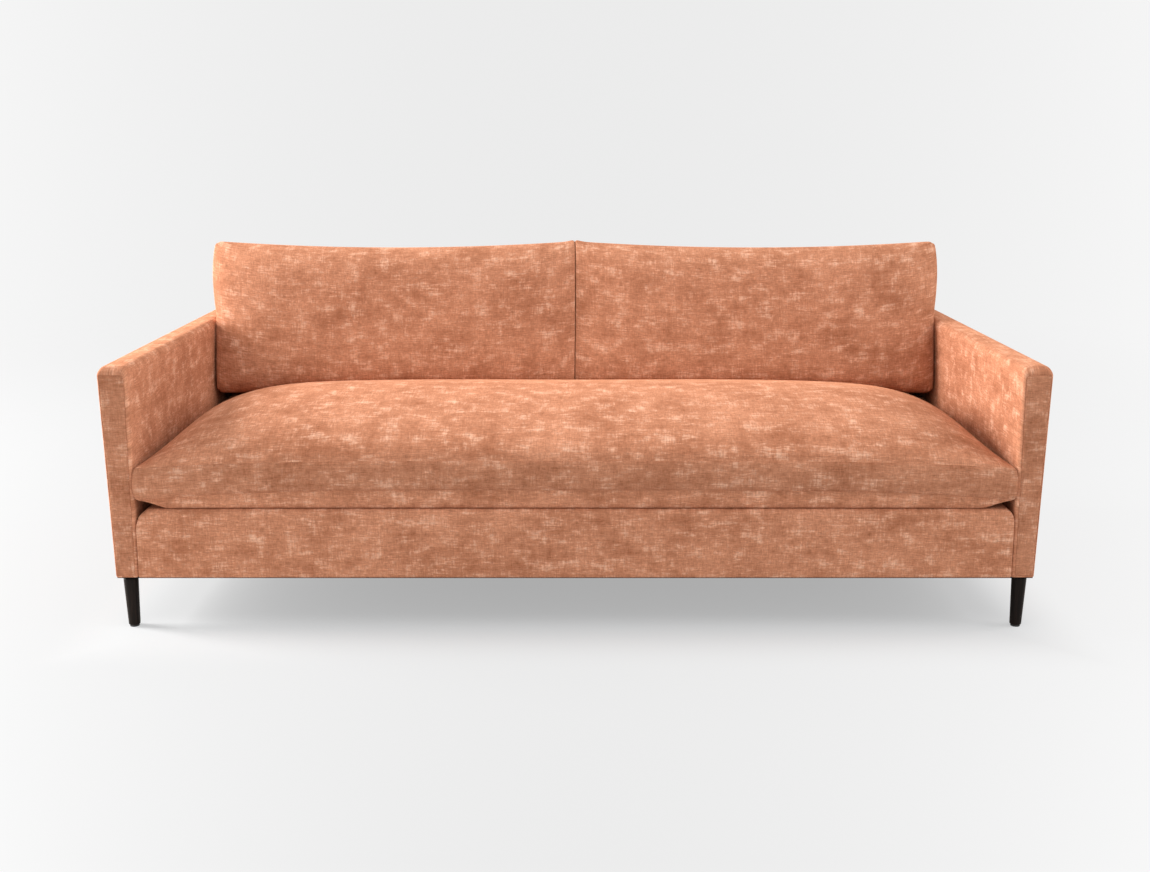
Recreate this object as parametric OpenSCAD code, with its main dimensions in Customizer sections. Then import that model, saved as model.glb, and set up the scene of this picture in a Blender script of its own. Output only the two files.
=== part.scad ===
// Tuxedo sofa: slim tapered arms level with the back, one bench seat cushion and two loose back cushions.
// Millimetres. X runs across the seat, Y from front to back and Z up.
// The origin is on the floor, under the middle of the sofa. Left is the side with negative X.

/* [Overall size] */
// Width over the two arms, at their tops
sofa_w = 2184; // [1900:2:2500]
// Depth from the fronts of the arms to the outside back
sofa_d = 1030; // [960:2:1120]
// Height of the arms and of the back frame
arm_h = 634; // [600:1:680]
// Length of the legs with their glides
leg_h = 127; // [100:1:160]
// Height of the base box, from its underside to the deck
base_h = 167.5; // [155:0.5:190]

/* [Arms and back] */
// Thickness of an arm at its top
arm_top_t = 70; // [64:1:80]
// Thickness of an arm at its foot
arm_foot_t = 54; // [50:1:58]
// How far the outer face of an arm leans in towards its foot
arm_lean = 5; // [0:1:8]
// Radius of the long edges on top of the arms and the back
edge_r = 12; // [8:1:14]
// Thickness of the back frame at its top
back_top_t = 80; // [74:1:100]
// Angle of the inside back from the vertical, in degrees
back_pitch = 13; // [8:0.5:15]

/* [Covers and padding] */
// Thickness of the cover fabric with its backing
cover_t = 2; // [1.6:0.1:2.4]
// Felt on the front and rear of the timber
pad_t = 8; // [6:0.5:9]
// Foam on top of the arms and the back
top_pad_t = 12; // [10:1:16]
// Foam on the inside back
back_pad_t = 18; // [14:1:22]
// Foam on the deck
deck_pad_t = 18; // [14:1:22]
// Hessian over the springs
hessian_t = 1; // [0.8:0.1:1.4]
// Dust cover under the base
dust_t = 1.5; // [1:0.1:2]
// How far the border runs back over the front rail
border_lip = 60; // [52:1:80]
// Corner radius at the ends of the border
border_r = 28; // [12:1:34]
// Radius of the long front edge of the border
border_edge_r = 12; // [8:1:16]

/* [Timber] */
// Thickness of the arm timber
board_t = 30; // [28:1:31]
// Thickness of the hardboard panels on the arms
panel_t = 3; // [2.5:0.1:3.2]
// Depth of the arm posts, front to back
post_d = 60; // [50:1:80]
// Height of the top rail of an arm
arm_rail_h = 42; // [36:1:50]
// Height of the bottom rail of an arm
arm_low_rail_h = 100; // [88:1:110]
// Height of the tack rail of an arm
tack_rail_h = 30; // [24:1:40]
// Thickness of the seat rails
rail_t = 28; // [24:1:32]
// Height of the cross rails under the springs
cross_h = 50; // [40:1:60]
// Distance of the cross rails from the middle of the sofa
cross_x = 340; // [250:5:400]
// Leg of the triangular corner blocks
block_w = 70; // [56:1:76]
// Height of the corner blocks
block_h = 90; // [80:1:105]
// Thickness of the back posts
back_post_t = 28; // [26:1:34]
// Distance of the inner back posts from the middle of the sofa
back_post_x = 335; // [280:5:400]
// Height of the top rail of the back
back_rail_h = 45; // [38:1:55]
// Height of the tack rail of the back
back_tack_h = 40; // [32:1:50]
// Height of the bottom rail of the back
back_low_rail_h = 60; // [50:1:70]

/* [Springs and webbing] */
// Least distance between two seat springs
spring_space = 140; // [110:5:180]
// Width of a seat spring over its bends
spring_w = 58; // [54:1:64]
// Distance from one run of a spring to the next
spring_pitch = 32; // [28:1:34]
// Thickness of the spring wire
wire_d = 4; // [3.4:0.1:4.4]
// Height of the spring clips
clip_h = 8; // [7.6:0.1:9]
// Width of the spring clips
clip_w = 20; // [16:1:24]
// Length of the spring clips, front to back
clip_l = 22; // [18:1:24]
// Width of a webbing strap
web_w = 60; // [50:1:70]
// Thickness of the webbing
web_t = 2; // [1.6:0.1:2.4]
// Number of webbing straps on the back
web_count = 3; // [2:1:3]

/* [Legs and fasteners] */
// Radius of a leg at its top
leg_top_r = 17.5; // [16:0.5:20]
// Radius of a leg at its foot
leg_foot_r = 13.5; // [12:0.5:15]
// Distance from the front or the back to the middle of a leg
leg_inset = 24; // [22:1:40]
// Radius of a glide
glide_r = 11; // [9:0.5:11.5]
// Thickness of a glide
glide_t = 4; // [3:0.5:6]
// Radius of the nail of a glide
nail_r = 1.5; // [1.2:0.1:2]
// Length of the nail of a glide
nail_l = 14; // [10:1:18]
// Radius of the bolts
bolt_r = 4; // [3.5:0.1:4.5]
// How deep a bolt goes into a leg
leg_bolt_l = 30; // [24:1:40]
// Radius of a threaded insert
insert_r = 6.5; // [6.2:0.1:7.5]
// Length of a threaded insert
insert_l = 22; // [18:1:26]
// Radius of a bolt head
head_r = 8; // [7:0.5:9]
// Height of a bolt head
head_h = 5; // [4:0.5:6]
// Height of the bolts that join the arms and the back to the base, above its underside
bolt_up = 62; // [56:1:68]
// Distance of the arm bolts from the seat rails, front to back
bolt_in = 110; // [95:1:160]
// Radius of the block screws
screw_r = 2.25; // [2:0.05:2.6]
// Radius of the head of a block screw
screw_head_r = 4.5; // [4:0.1:5]
// Depth of a block screw in a rail
screw_in = 20; // [15:1:22]
// Wood between the head of a block screw and the rail
screw_grip = 16; // [12:1:20]

/* [Seat cushion] */
// Height of the top seam above the deck, at the corners
seat_seam_h = 100; // [94:1:116]
// Height of the low seam above the deck, at the corners
seat_low_h = 22; // [14:1:30]
// How much higher the top seam is in the middle of the front
seat_arch = 18; // [0:1:24]
// How much higher the low seam is in the middle of the front
seat_low_arch = 24; // [0:1:28]
// Crown of the seat cushion above its top seam
seat_crown = 118; // [90:1:130]
// Distance from the front of the seat cushion back to its highest point
seat_crest_in = 325; // [280:5:400]
// How far the front of the seat cushion lies behind the arm fronts
seat_front_in = 2; // [2:1:20]
// Radius of the corners of the seat cushion, seen from above
seat_r = 12; // [8:1:40]

/* [Back cushions] */
// Height of a back cushion along its slope
back_cushion_h = 432; // [390:1:450]
// Thickness of a back cushion at its boxing
back_cushion_t = 176; // [156:1:190]
// Height of the front bottom edge of the back cushions above the deck
back_cushion_up = 134; // [128:1:160]
// Crown of the front of a back cushion
back_crown = 70; // [40:1:90]
// How far the top edge dips between the corners
back_dip = 18; // [0:1:30]
// Radius of the corners of a back cushion, seen from the front
back_r = 16; // [12:1:34]
// Gap between the two back cushions
middle_gap = 4; // [2:0.5:8]

/* [Cores and zips] */
// Fibre between the foam core and the sides of a cushion
wrap_side = 48; // [44:1:60]
// Fibre under the foam core of the seat cushion
wrap_low = 22; // [20:1:26]
// Fibre between the foam core and the top seam of the seat cushion
wrap_top = 4; // [2:1:10]
// Fibre in front of and behind the foam core of a back cushion
wrap_face = 28; // [24:1:36]
// Distance from the end of a cushion to the end of its zip
zip_end_in = 110; // [90:1:140]
// Width of the zip tape
zip_w = 12; // [10:0.5:13]
// Depth of the recess that the zip lies in
zip_deep = 6.4; // [6.2:0.1:8]
// Height of the zip above the lower edge of a back cushion
zip_up = 62; // [60:1:80]
// Width of the row of zip teeth
teeth_w = 4; // [3.4:0.1:4.4]
// Height of the row of zip teeth
teeth_t = 1.6; // [1.4:0.1:1.8]
// Length of a zip slider
slider_l = 11; // [9:0.5:14]
// Length of a zip pull
pull_l = 18; // [15:1:24]

/* [Hidden] */

// Colours
fabric_rgb = [0.78, 0.45, 0.31];
timber_rgb = [0.80, 0.66, 0.46];
board_rgb = [0.55, 0.40, 0.26];
foam_rgb = [0.93, 0.90, 0.80];
cloth_rgb = [0.70, 0.62, 0.46];
steel_rgb = [0.62, 0.63, 0.65];
black_rgb = [0.10, 0.09, 0.09];
leg_rgb = [0.13, 0.09, 0.08];

// Overrun of a cut past the face that it opens
cut = 1;
// Gap under a cushion, and between a back cushion and what it leans on
rest_gap = 0.3;
// Gap between a cushion and the arms and the inside back
cushion_gap = 1.5;
// Gap between a foam core and its cover
core_gap = 0.2;
// Gap between two pieces that meet on a leaning or rounded face
lean_gap = 0.1;
// Radial clearance of a bolt or screw in its hole
bolt_fit = 0.05;
// Radial clearance of a bolt in a hole that it only passes through
bolt_clear = 0.6;
// Gap between a zip slider and what it runs on
slider_gap = 0.3;
// Thickness of the tape of a zip
tape_t = 1;
// Wall of a zip slider over and beside the teeth
slider_wall = 1.6;
// Thickness of a zip pull
pull_t = 1;
// Height of the slit behind a zip
slit_h = 4;
// Clearance of a spring wire in its clip
clip_fit = 0.15;
// Steps in a rounded edge, and in a bend of a spring
edge_steps = 5;
bend_steps = 6;

base_z = leg_h + dust_t;
deck_z = base_z + base_h;
y_front = -sofa_d / 2;
y_back = sofa_d / 2;
skin = cover_t + pad_t;
rail_top = deck_z - cover_t - deck_pad_t - hessian_t - clip_h;
hessian_z = rail_top + clip_h;
back_stack = cover_t + back_pad_t + web_t;

// Share of the way down an arm, from 0 at its top to 1 at its foot
function down(z) = (arm_h - z) / (arm_h - base_z);
// Distance from the middle of the sofa to the outer and inner faces of an arm
function arm_out_x(z) = sofa_w / 2 - arm_lean * down(z);
function arm_in_x(z) = sofa_w / 2 - arm_top_t + (arm_top_t - arm_foot_t - arm_lean) * down(z);
// Y of a plane that lies t behind the inside back, at height z
function back_y(z, t = 0) = y_back - back_top_t - (arm_h - z) * tan(back_pitch) + t / cos(back_pitch);

deck_end_y = back_y(deck_z);
arm_x = (arm_in_x(base_z) + arm_out_x(base_z)) / 2;
arm_core = board_t / 2 + panel_t;
arm_top_z = arm_h - cover_t - top_pad_t;
timber_front = y_front + skin;
timber_back = y_back - skin;
widest = sofa_w;
leg_y = [y_front + leg_inset, y_back - leg_inset];

// Unit vector, and the points of an arc of radius r that rounds the corner b between a and c
function unit(v) = v / norm(v);
function turn(a) = a > 180 ? a - 360 : a < -180 ? a + 360 : a;
function corner(a, b, c, r) = r <= 0 ? [b] :
    let (
        u = unit(a - b),
        v = unit(c - b),
        half = acos(u * v) / 2,
        centre = b + unit(u + v) * r / sin(half),
        p = b + u * r / tan(half) - centre,
        q = b + v * r / tan(half) - centre,
        start = atan2(p.y, p.x),
        sweep = turn(atan2(q.y, q.x) - start)
    )
    [for (i = [0:edge_steps]) let (w = start + sweep * i / edge_steps) centre + r * [cos(w), sin(w)]];
// An outline with each corner rounded by its own radius
function rounded(pts, radii) = let (n = len(pts))
    [for (i = [0:n - 1]) each corner(pts[(i + n - 1) % n], pts[i], pts[(i + 1) % n], radii[i])];

// Extrudes an XZ outline from y0 to y1, and a YZ outline from x0 to x1
module along_y(y0, y1) {
    translate([0, y1, 0]) rotate([90, 0, 0]) linear_extrude(height = y1 - y0) children();
}
module along_x(x0, x1) {
    translate([x0, 0, 0]) rotate([90, 0, 90]) linear_extrude(height = x1 - x0) children();
}
// A block between two corners
module block(low, high) {
    translate(low) cube(high - low);
}
// The same piece on the left and on the right
module both_sides() {
    children();
    mirror([1, 0, 0]) children();
}

// Cross section of the right arm, set in by a side and a top thickness
function arm_outline(side, top, r, low) =
    rounded(
        [
            [arm_in_x(low) + side, low],
            [arm_out_x(low) - side, low],
            [arm_out_x(arm_h - top) - side, arm_h - top],
            [arm_in_x(arm_h - top) + side, arm_h - top]
        ],
        [0, 0, r, r]
    );
// Cross section of the base between the arms, set in by t
function base_outline(t, low) =
    rounded(
        [
            [-arm_in_x(low) + t, low],
            [arm_in_x(low) - t, low],
            [arm_in_x(deck_z - t) - t, deck_z - t],
            [-arm_in_x(deck_z - t) + t, deck_z - t]
        ],
        [0, 0, border_r - t, border_r - t]
    );
// Side view of the border, set in by t
function border_profile(t, low) =
    rounded(
        [
            [y_front + t, low],
            [y_front + border_lip + cut, low],
            [y_front + border_lip + cut, deck_z - t],
            [y_front + t, deck_z - t]
        ],
        [0, 0, 0, border_edge_r - t]
    );
// Side view of the back frame, set in by a front, a top and a rear thickness
function back_profile(front, top, rear, r, low) =
    rounded(
        [
            [back_y(deck_z, front), low],
            [y_back - rear, low],
            [y_back - rear, arm_h - top],
            [back_y(arm_h - top, front), arm_h - top],
            [back_y(deck_z, front), deck_z]
        ],
        [0, 0, r, r, 0]
    );
// Everything between the inner faces of the arms
module between_arms(in_t = 0) {
    along_y(y_front - cut, y_back + cut)
        polygon([
            [-arm_in_x(base_z) + in_t, base_z],
            [arm_in_x(base_z) - in_t, base_z],
            [arm_in_x(arm_h) - in_t, arm_h],
            [-arm_in_x(arm_h) + in_t, arm_h]
        ]);
}
// A slab of the base inside its cover
module base_slab(y0, y1, z0, z1) {
    intersection() {
        along_y(y0, y1) polygon(base_outline(cover_t + lean_gap, base_z));
        block([-widest, y0, z0], [widest, y1, z1]);
    }
}

// Bolt and insert: the bolt runs along +Z from its middle plane, with its insert at the far end
module insert_body() {
    difference() {
        cylinder(h = insert_l, r = insert_r, $fn = 48);
        translate([0, 0, -cut]) cylinder(h = insert_l + 2 * cut, r = bolt_r + bolt_fit, $fn = 48);
    }
}
module insert_seat() {
    translate([0, 0, -cut]) cylinder(h = insert_l + cut, r = insert_r + bolt_fit, $fn = 48);
}

// Places of the four legs
module at_legs() {
    for (x = [-arm_x, arm_x], y = leg_y) translate([x, y, 0]) children();
}

// Arm bolts start on the inner face of a side rail and end in an insert in the bottom rail of the arm
side_face_x = arm_in_x(rail_top) - cover_t - rail_t;
bolt_z = base_z + bolt_up;
arm_bolt_y = [timber_front + rail_t + bolt_in, deck_end_y - rail_t - bolt_in];
insert_x = arm_x - board_t / 2;
module at_arm_bolts() {
    both_sides()
        for (y = arm_bolt_y) translate([0, y, bolt_z]) rotate([0, 90, 0]) children();
}
// Back bolts start on the front face of the rear seat rail and end in an insert in a back post
end_post_x = arm_in_x(arm_h) - back_post_t / 2;
back_post_places = [-end_post_x, -back_post_x, back_post_x, end_post_x];
back_bolt_z = base_z + bolt_up + head_r + head_r;
module at_back_bolts() {
    for (x = [-back_post_x, back_post_x]) translate([x, 0, back_bolt_z]) rotate([-90, 0, 0]) children();
}
module arm_bolt_holes(r) {
    at_arm_bolts()
        translate([0, 0, side_face_x - rail_t])
            cylinder(h = insert_x - side_face_x + rail_t + cut, r = r, $fn = 48);
}

// Legs, glides, bolts and inserts
module leg(x, y) {
    color(leg_rgb)
        translate([x, y, 0])
            difference() {
                translate([0, 0, glide_t])
                    cylinder(h = leg_h - glide_t, r1 = leg_foot_r, r2 = leg_top_r, $fn = 64);
                translate([0, 0, leg_h - leg_bolt_l])
                    cylinder(h = leg_bolt_l + cut, r = bolt_r + bolt_fit, $fn = 48);
                translate([0, 0, glide_t - cut]) cylinder(h = nail_l + cut, r = nail_r + bolt_fit, $fn = 32);
            }
}
module leg_glides() {
    color(black_rgb)
        at_legs() {
            cylinder(h = glide_t, r = glide_r, $fn = 48);
            cylinder(h = glide_t + nail_l, r = nail_r, $fn = 32);
        }
}
module leg_bolts() {
    color(steel_rgb)
        at_legs()
            translate([0, 0, leg_h - leg_bolt_l])
                cylinder(h = leg_bolt_l + dust_t + insert_l, r = bolt_r, $fn = 48);
}
module leg_inserts() {
    color(steel_rgb) at_legs() translate([0, 0, base_z]) insert_body();
}

// Timber of one arm
module arm_front_post() {
    color(timber_rgb)
        difference() {
            block(
                [arm_x - board_t / 2, timber_front, base_z],
                [arm_x + board_t / 2, timber_front + post_d, arm_top_z - arm_rail_h]
            );
            at_legs() translate([0, 0, base_z]) insert_seat();
        }
}
module arm_rear_post() {
    color(timber_rgb)
        difference() {
            block(
                [arm_x - board_t / 2, timber_back - post_d, base_z],
                [arm_x + board_t / 2, timber_back, arm_top_z - arm_rail_h]
            );
            at_legs() translate([0, 0, base_z]) insert_seat();
        }
}
module arm_top_rail() {
    color(timber_rgb)
        block(
            [arm_x - board_t / 2, timber_front, arm_top_z - arm_rail_h],
            [arm_x + board_t / 2, timber_back, arm_top_z]
        );
}
module arm_bottom_rail() {
    color(timber_rgb)
        difference() {
            block(
                [arm_x - board_t / 2, timber_front + post_d, base_z],
                [arm_x + board_t / 2, timber_back - post_d, base_z + arm_low_rail_h]
            );
            at_arm_bolts() translate([0, 0, insert_x]) insert_seat();
        }
}
module arm_tack_rail() {
    color(timber_rgb)
        block(
            [arm_x - board_t / 2, timber_front + post_d, deck_z],
            [arm_x + board_t / 2, timber_back - post_d, deck_z + tack_rail_h]
        );
}
module arm_panels() {
    color(board_rgb)
        difference() {
            for (x = [arm_x - arm_core, arm_x + board_t / 2])
                block([x, timber_front, base_z], [x + panel_t, timber_back, arm_top_z]);
            arm_bolt_holes(bolt_r + bolt_clear);
        }
}
module arm_padding() {
    color(foam_rgb)
        difference() {
            along_y(y_front + cover_t, y_back - cover_t)
                polygon(arm_outline(cover_t + lean_gap, cover_t, edge_r - cover_t, base_z));
            block(
                [arm_x - arm_core, timber_front, base_z - cut],
                [arm_x + arm_core, timber_back, arm_top_z]
            );
            arm_bolt_holes(bolt_r + bolt_clear);
        }
}
module arm_cover() {
    color(fabric_rgb)
        difference() {
            along_y(y_front, y_back) polygon(arm_outline(0, 0, edge_r, base_z));
            along_y(y_front + cover_t, y_back - cover_t)
                polygon(arm_outline(cover_t, cover_t, edge_r - cover_t, base_z - cut));
            arm_bolt_holes(bolt_r + bolt_clear);
        }
}

// Timber of the base
module front_rail() {
    color(timber_rgb)
        difference() {
            base_slab(timber_front, timber_front + rail_t, base_z, rail_top);
            screw_holes();
        }
}
module rear_seat_rail() {
    color(timber_rgb)
        difference() {
            base_slab(deck_end_y - rail_t, deck_end_y, base_z, rail_top);
            screw_holes();
            at_back_bolts()
                translate([0, 0, deck_end_y - rail_t - cut])
                    cylinder(h = rail_t + 2 * cut, r = bolt_r + bolt_fit, $fn = 48);
        }
}
module side_rails() {
    color(timber_rgb)
        difference() {
            base_slab(timber_front + rail_t, deck_end_y - rail_t, base_z, rail_top);
            block(
                [-side_face_x, timber_front, base_z - cut],
                [side_face_x, deck_end_y, rail_top + cut]
            );
            screw_holes();
            arm_bolt_holes(bolt_r + bolt_fit);
        }
}
module cross_rails() {
    color(timber_rgb)
        both_sides()
            block(
                [cross_x - rail_t / 2, timber_front + rail_t, base_z],
                [cross_x + rail_t / 2, deck_end_y - rail_t, base_z + cross_h]
            );
}
module at_blocks() {
    both_sides() {
        translate([side_face_x, timber_front + rail_t, base_z]) children();
        translate([side_face_x, deck_end_y - rail_t, base_z]) mirror([0, 1, 0]) children();
    }
}
// One screw of a corner block runs into the seat rail and one into the side rail, at two heights
screw_side = block_w / 3;
screw_z_rail = block_h / 4;
screw_z_side = block_h * 3 / 4;
module block_screw_pair(shank_r, head, reach) {
    module one() {
        rotate([90, 0, 0])
            translate([0, 0, -screw_grip]) cylinder(h = screw_grip + screw_in, r = shank_r, $fn = 32);
        translate([0, screw_grip, 0]) rotate([-90, 0, 0]) cylinder(h = reach, r = head, $fn = 32);
    }
    translate([-screw_side, 0, screw_z_rail]) one();
    translate([0, screw_side, screw_z_side]) rotate([0, 0, 90]) one();
}
module screw_holes() {
    at_blocks() block_screw_pair(screw_r + bolt_fit, screw_head_r + bolt_clear, block_w);
}
module corner_blocks() {
    color(timber_rgb)
        difference() {
            at_blocks()
                linear_extrude(height = block_h)
                    polygon([[-lean_gap, 0], [-lean_gap, block_w - lean_gap], [-block_w, 0]]);
            screw_holes();
        }
}
module block_screws() {
    color(steel_rgb) at_blocks() block_screw_pair(screw_r, screw_head_r, screw_head_r);
}

// Timber of the back
module back_posts() {
    color(timber_rgb)
        difference() {
            for (x = back_post_places)
                along_x(x - back_post_t / 2, x + back_post_t / 2)
                    polygon([
                        [deck_end_y, base_z],
                        [timber_back, base_z],
                        [timber_back, arm_top_z - back_rail_h],
                        [back_y(arm_top_z - back_rail_h, back_stack), arm_top_z - back_rail_h],
                        [back_y(deck_z, back_stack), deck_z],
                        [back_y(deck_z, back_stack), deck_z - back_tack_h],
                        [deck_end_y, deck_z - back_tack_h]
                    ]);
            block(
                [-widest, timber_back - rail_t, base_z - cut],
                [widest, timber_back + cut, base_z + back_low_rail_h]
            );
            at_back_bolts() translate([0, 0, deck_end_y]) insert_seat();
        }
}
module back_top_rail() {
    color(timber_rgb)
        intersection() {
            along_x(-widest, widest)
                polygon([
                    [back_y(arm_top_z - back_rail_h, back_stack), arm_top_z - back_rail_h],
                    [timber_back, arm_top_z - back_rail_h],
                    [timber_back, arm_top_z],
                    [back_y(arm_top_z, back_stack), arm_top_z]
                ]);
            between_arms();
        }
}
module back_tack_rail() {
    color(timber_rgb)
        intersection() {
            block(
                [-widest, deck_end_y, deck_z - back_tack_h],
                [widest, back_y(deck_z, back_stack), deck_z]
            );
            between_arms();
        }
}
module back_bottom_rail() {
    color(timber_rgb)
        intersection() {
            block(
                [-widest, timber_back - rail_t, base_z],
                [widest, timber_back, base_z + back_low_rail_h]
            );
            between_arms();
        }
}
web_low = deck_z + web_w / 2;
web_step = (arm_top_z - deck_z - web_w * cos(back_pitch) - web_w) / (web_count - 1);
module back_webbing() {
    color(cloth_rgb)
        intersection() {
            for (i = [0:web_count - 1])
                let (z0 = web_low + i * web_step, z1 = z0 + web_w * cos(back_pitch))
                    along_x(-widest, widest)
                        polygon([
                            [back_y(z0, back_stack - web_t), z0],
                            [back_y(z0, back_stack), z0],
                            [back_y(z1, back_stack), z1],
                            [back_y(z1, back_stack - web_t), z1]
                        ]);
            between_arms();
        }
}
module back_padding() {
    color(foam_rgb)
        intersection() {
            difference() {
                along_x(-widest, widest)
                    polygon(back_profile(cover_t, cover_t, cover_t, edge_r - cover_t, base_z));
                along_x(-widest - cut, widest + cut)
                    polygon(back_profile(back_stack - web_t, cover_t + top_pad_t, skin, 0, base_z - cut));
                block(
                    [-widest, deck_end_y - cut, base_z - cut],
                    [widest, back_y(deck_z, back_stack), deck_z]
                );
            }
            between_arms();
        }
}
module back_cover() {
    color(fabric_rgb)
        intersection() {
            difference() {
                along_x(-widest, widest) polygon(back_profile(0, 0, 0, edge_r, base_z));
                along_x(-widest - cut, widest + cut)
                    polygon(back_profile(cover_t, cover_t, cover_t, edge_r - cover_t, base_z - cut));
                block(
                    [-widest, deck_end_y - cut, base_z - cut],
                    [widest, back_y(deck_z, back_stack), deck_z]
                );
            }
            between_arms();
        }
}

// Bolts that join the arms and the back to the base
module unit_bolts() {
    color(steel_rgb) {
        at_arm_bolts() {
            translate([0, 0, side_face_x])
                cylinder(h = insert_x + insert_l - side_face_x, r = bolt_r, $fn = 48);
            translate([0, 0, side_face_x - head_h]) cylinder(h = head_h, r = head_r, $fn = 48);
        }
        at_back_bolts() {
            translate([0, 0, deck_end_y - rail_t]) cylinder(h = rail_t + insert_l, r = bolt_r, $fn = 48);
            translate([0, 0, deck_end_y - rail_t - head_h]) cylinder(h = head_h, r = head_r, $fn = 48);
        }
    }
}
module unit_inserts() {
    color(steel_rgb) {
        at_arm_bolts() translate([0, 0, insert_x]) insert_body();
        at_back_bolts() translate([0, 0, deck_end_y]) insert_body();
    }
}

// Seat springs: flat zigzags of wire that run from a clip on the front rail to a clip on the rear seat rail
spring_y0 = timber_front + rail_t / 2;
spring_y1 = deck_end_y - rail_t / 2;
spring_runs = 2 * round((spring_y1 - spring_y0) / spring_pitch / 2);
run_pitch = (spring_y1 - spring_y0) / spring_runs;
run_l = spring_w - run_pitch;
spring_z = rail_top + clip_h / 2;
spring_span = 2 * (side_face_x - spring_w);
spring_count = floor(spring_span / spring_space) + 1;
spring_gap = spring_span / (spring_count - 1);
module at_springs() {
    for (i = [0:spring_count - 1]) translate([i * spring_gap - spring_span / 2, 0, spring_z]) children();
}
// One side of the wire, d to the right of its middle line
function way(i) = i % 2 == 0 ? 1 : -1;
function spring_side(d) = concat(
    [[-run_l / 2, -d]],
    [for (i = [0:spring_runs - 1], k = [0:bend_steps])
        let (w = 180 * k / bend_steps - 90, r = run_pitch / 2 + d * way(i))
            [way(i) * (run_l / 2 + r * cos(w)), (i + 0.5) * run_pitch + r * sin(w)]],
    [[run_l / 2, spring_runs * run_pitch - d]]
);
function reversed(pts) = [for (i = [1:len(pts)]) pts[len(pts) - i]];
module spring() {
    translate([0, spring_y0, -wire_d / 2])
        linear_extrude(height = wire_d)
            polygon(concat(spring_side(wire_d / 2), reversed(spring_side(-wire_d / 2))));
}
module seat_springs() {
    color(steel_rgb) at_springs() spring();
}
clip_slot = wire_d + 2 * clip_fit;
module spring_clips() {
    color(steel_rgb)
        at_springs()
            for (y = [spring_y0, spring_y1])
                translate([0, y, 0])
                    difference() {
                        block(
                            [-clip_w / 2, -clip_l / 2, -clip_h / 2],
                            [clip_w / 2, clip_l / 2, clip_h / 2]
                        );
                        block(
                            [-clip_w / 2 - cut, -clip_slot / 2, -clip_slot / 2],
                            [clip_w / 2 + cut, clip_slot / 2, clip_slot / 2]
                        );
                    }
}

// Deck, border and dust cover
module hessian() {
    color(cloth_rgb) base_slab(timber_front, deck_end_y, hessian_z, hessian_z + hessian_t);
}
module deck_padding() {
    color(foam_rgb) base_slab(y_front + border_lip, deck_end_y, hessian_z + hessian_t, deck_z - cover_t);
}
module deck_cover() {
    color(fabric_rgb)
        difference() {
            along_y(y_front + border_lip, deck_end_y) polygon(base_outline(0, base_z));
            along_y(y_front + border_lip - cut, deck_end_y + cut)
                polygon(base_outline(cover_t, base_z - cut));
            arm_bolt_holes(bolt_r + bolt_clear);
        }
}
module border_form(t, low) {
    intersection() {
        along_y(y_front + t, y_front + border_lip + cut) polygon(base_outline(t, low));
        along_x(-widest, widest) polygon(border_profile(t, low));
    }
}
module border_padding() {
    color(foam_rgb)
        difference() {
            border_form(cover_t + lean_gap, base_z);
            block([-widest, timber_front, base_z - cut], [widest, y_back, hessian_z + hessian_t]);
            block([-widest, y_front + border_lip, base_z], [widest, y_back, arm_h]);
        }
}
module border_cover() {
    color(fabric_rgb)
        difference() {
            border_form(0, base_z);
            border_form(cover_t, base_z - cut);
            block([-widest, y_front + border_lip, base_z - cut], [widest, y_back, arm_h]);
        }
}
module dust_cover() {
    color(black_rgb)
        difference() {
            block(
                [-arm_out_x(base_z) + cover_t, y_front + cover_t, leg_h],
                [arm_out_x(base_z) - cover_t, y_back - cover_t, base_z]
            );
            at_legs() translate([0, 0, leg_h - cut])
                cylinder(h = dust_t + 2 * cut, r = bolt_r + bolt_clear, $fn = 48);
        }
}

// Rounded rectangle of half sizes hx and hy, with nx and ny steps along its sides and arcs of radius r
arc_steps = 3;
function plan(hx, hy, r, nx, ny) = concat(
    [for (i = [0:nx - 1]) [-hx + r + 2 * (hx - r) * i / nx, -hy]],
    [for (i = [0:arc_steps - 1]) [hx - r, -hy + r] + r * [sin(90 * i / arc_steps), -cos(90 * i / arc_steps)]],
    [for (i = [0:ny - 1]) [hx, -hy + r + 2 * (hy - r) * i / ny]],
    [for (i = [0:arc_steps - 1]) [hx - r, hy - r] + r * [cos(90 * i / arc_steps), sin(90 * i / arc_steps)]],
    [for (i = [0:nx - 1]) [hx - r - 2 * (hx - r) * i / nx, hy]],
    [for (i = [0:arc_steps - 1]) [-hx + r, hy - r] + r * [-sin(90 * i / arc_steps), cos(90 * i / arc_steps)]],
    [for (i = [0:ny - 1]) [-hx, hy - r - 2 * (hy - r) * i / ny]],
    [for (i = [0:arc_steps - 1]) [-hx + r, -hy + r] + r * [-cos(90 * i / arc_steps), -sin(90 * i / arc_steps)]]
);
// A closed skin over rings of n points each, from a first pole to a last one
module ringed(first, rings, last) {
    n = len(rings[0]);
    rows = len(rings);
    end = 1 + n * rows;
    polyhedron(
        points = concat([first], [for (ring = rings) each ring], [last]),
        faces = concat(
            [for (i = [0:n - 1]) [0, 1 + (i + 1) % n, 1 + i]],
            [for (k = [0:rows - 2], i = [0:n - 1])
                let (a = 1 + k * n, b = a + n, j = (i + 1) % n)
                    each [[a + i, a + j, b + i], [a + j, b + j, b + i]]],
            [for (i = [0:n - 1]) let (a = end - n) [end, a + i, a + (i + 1) % n]]
        )
    );
}

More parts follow.
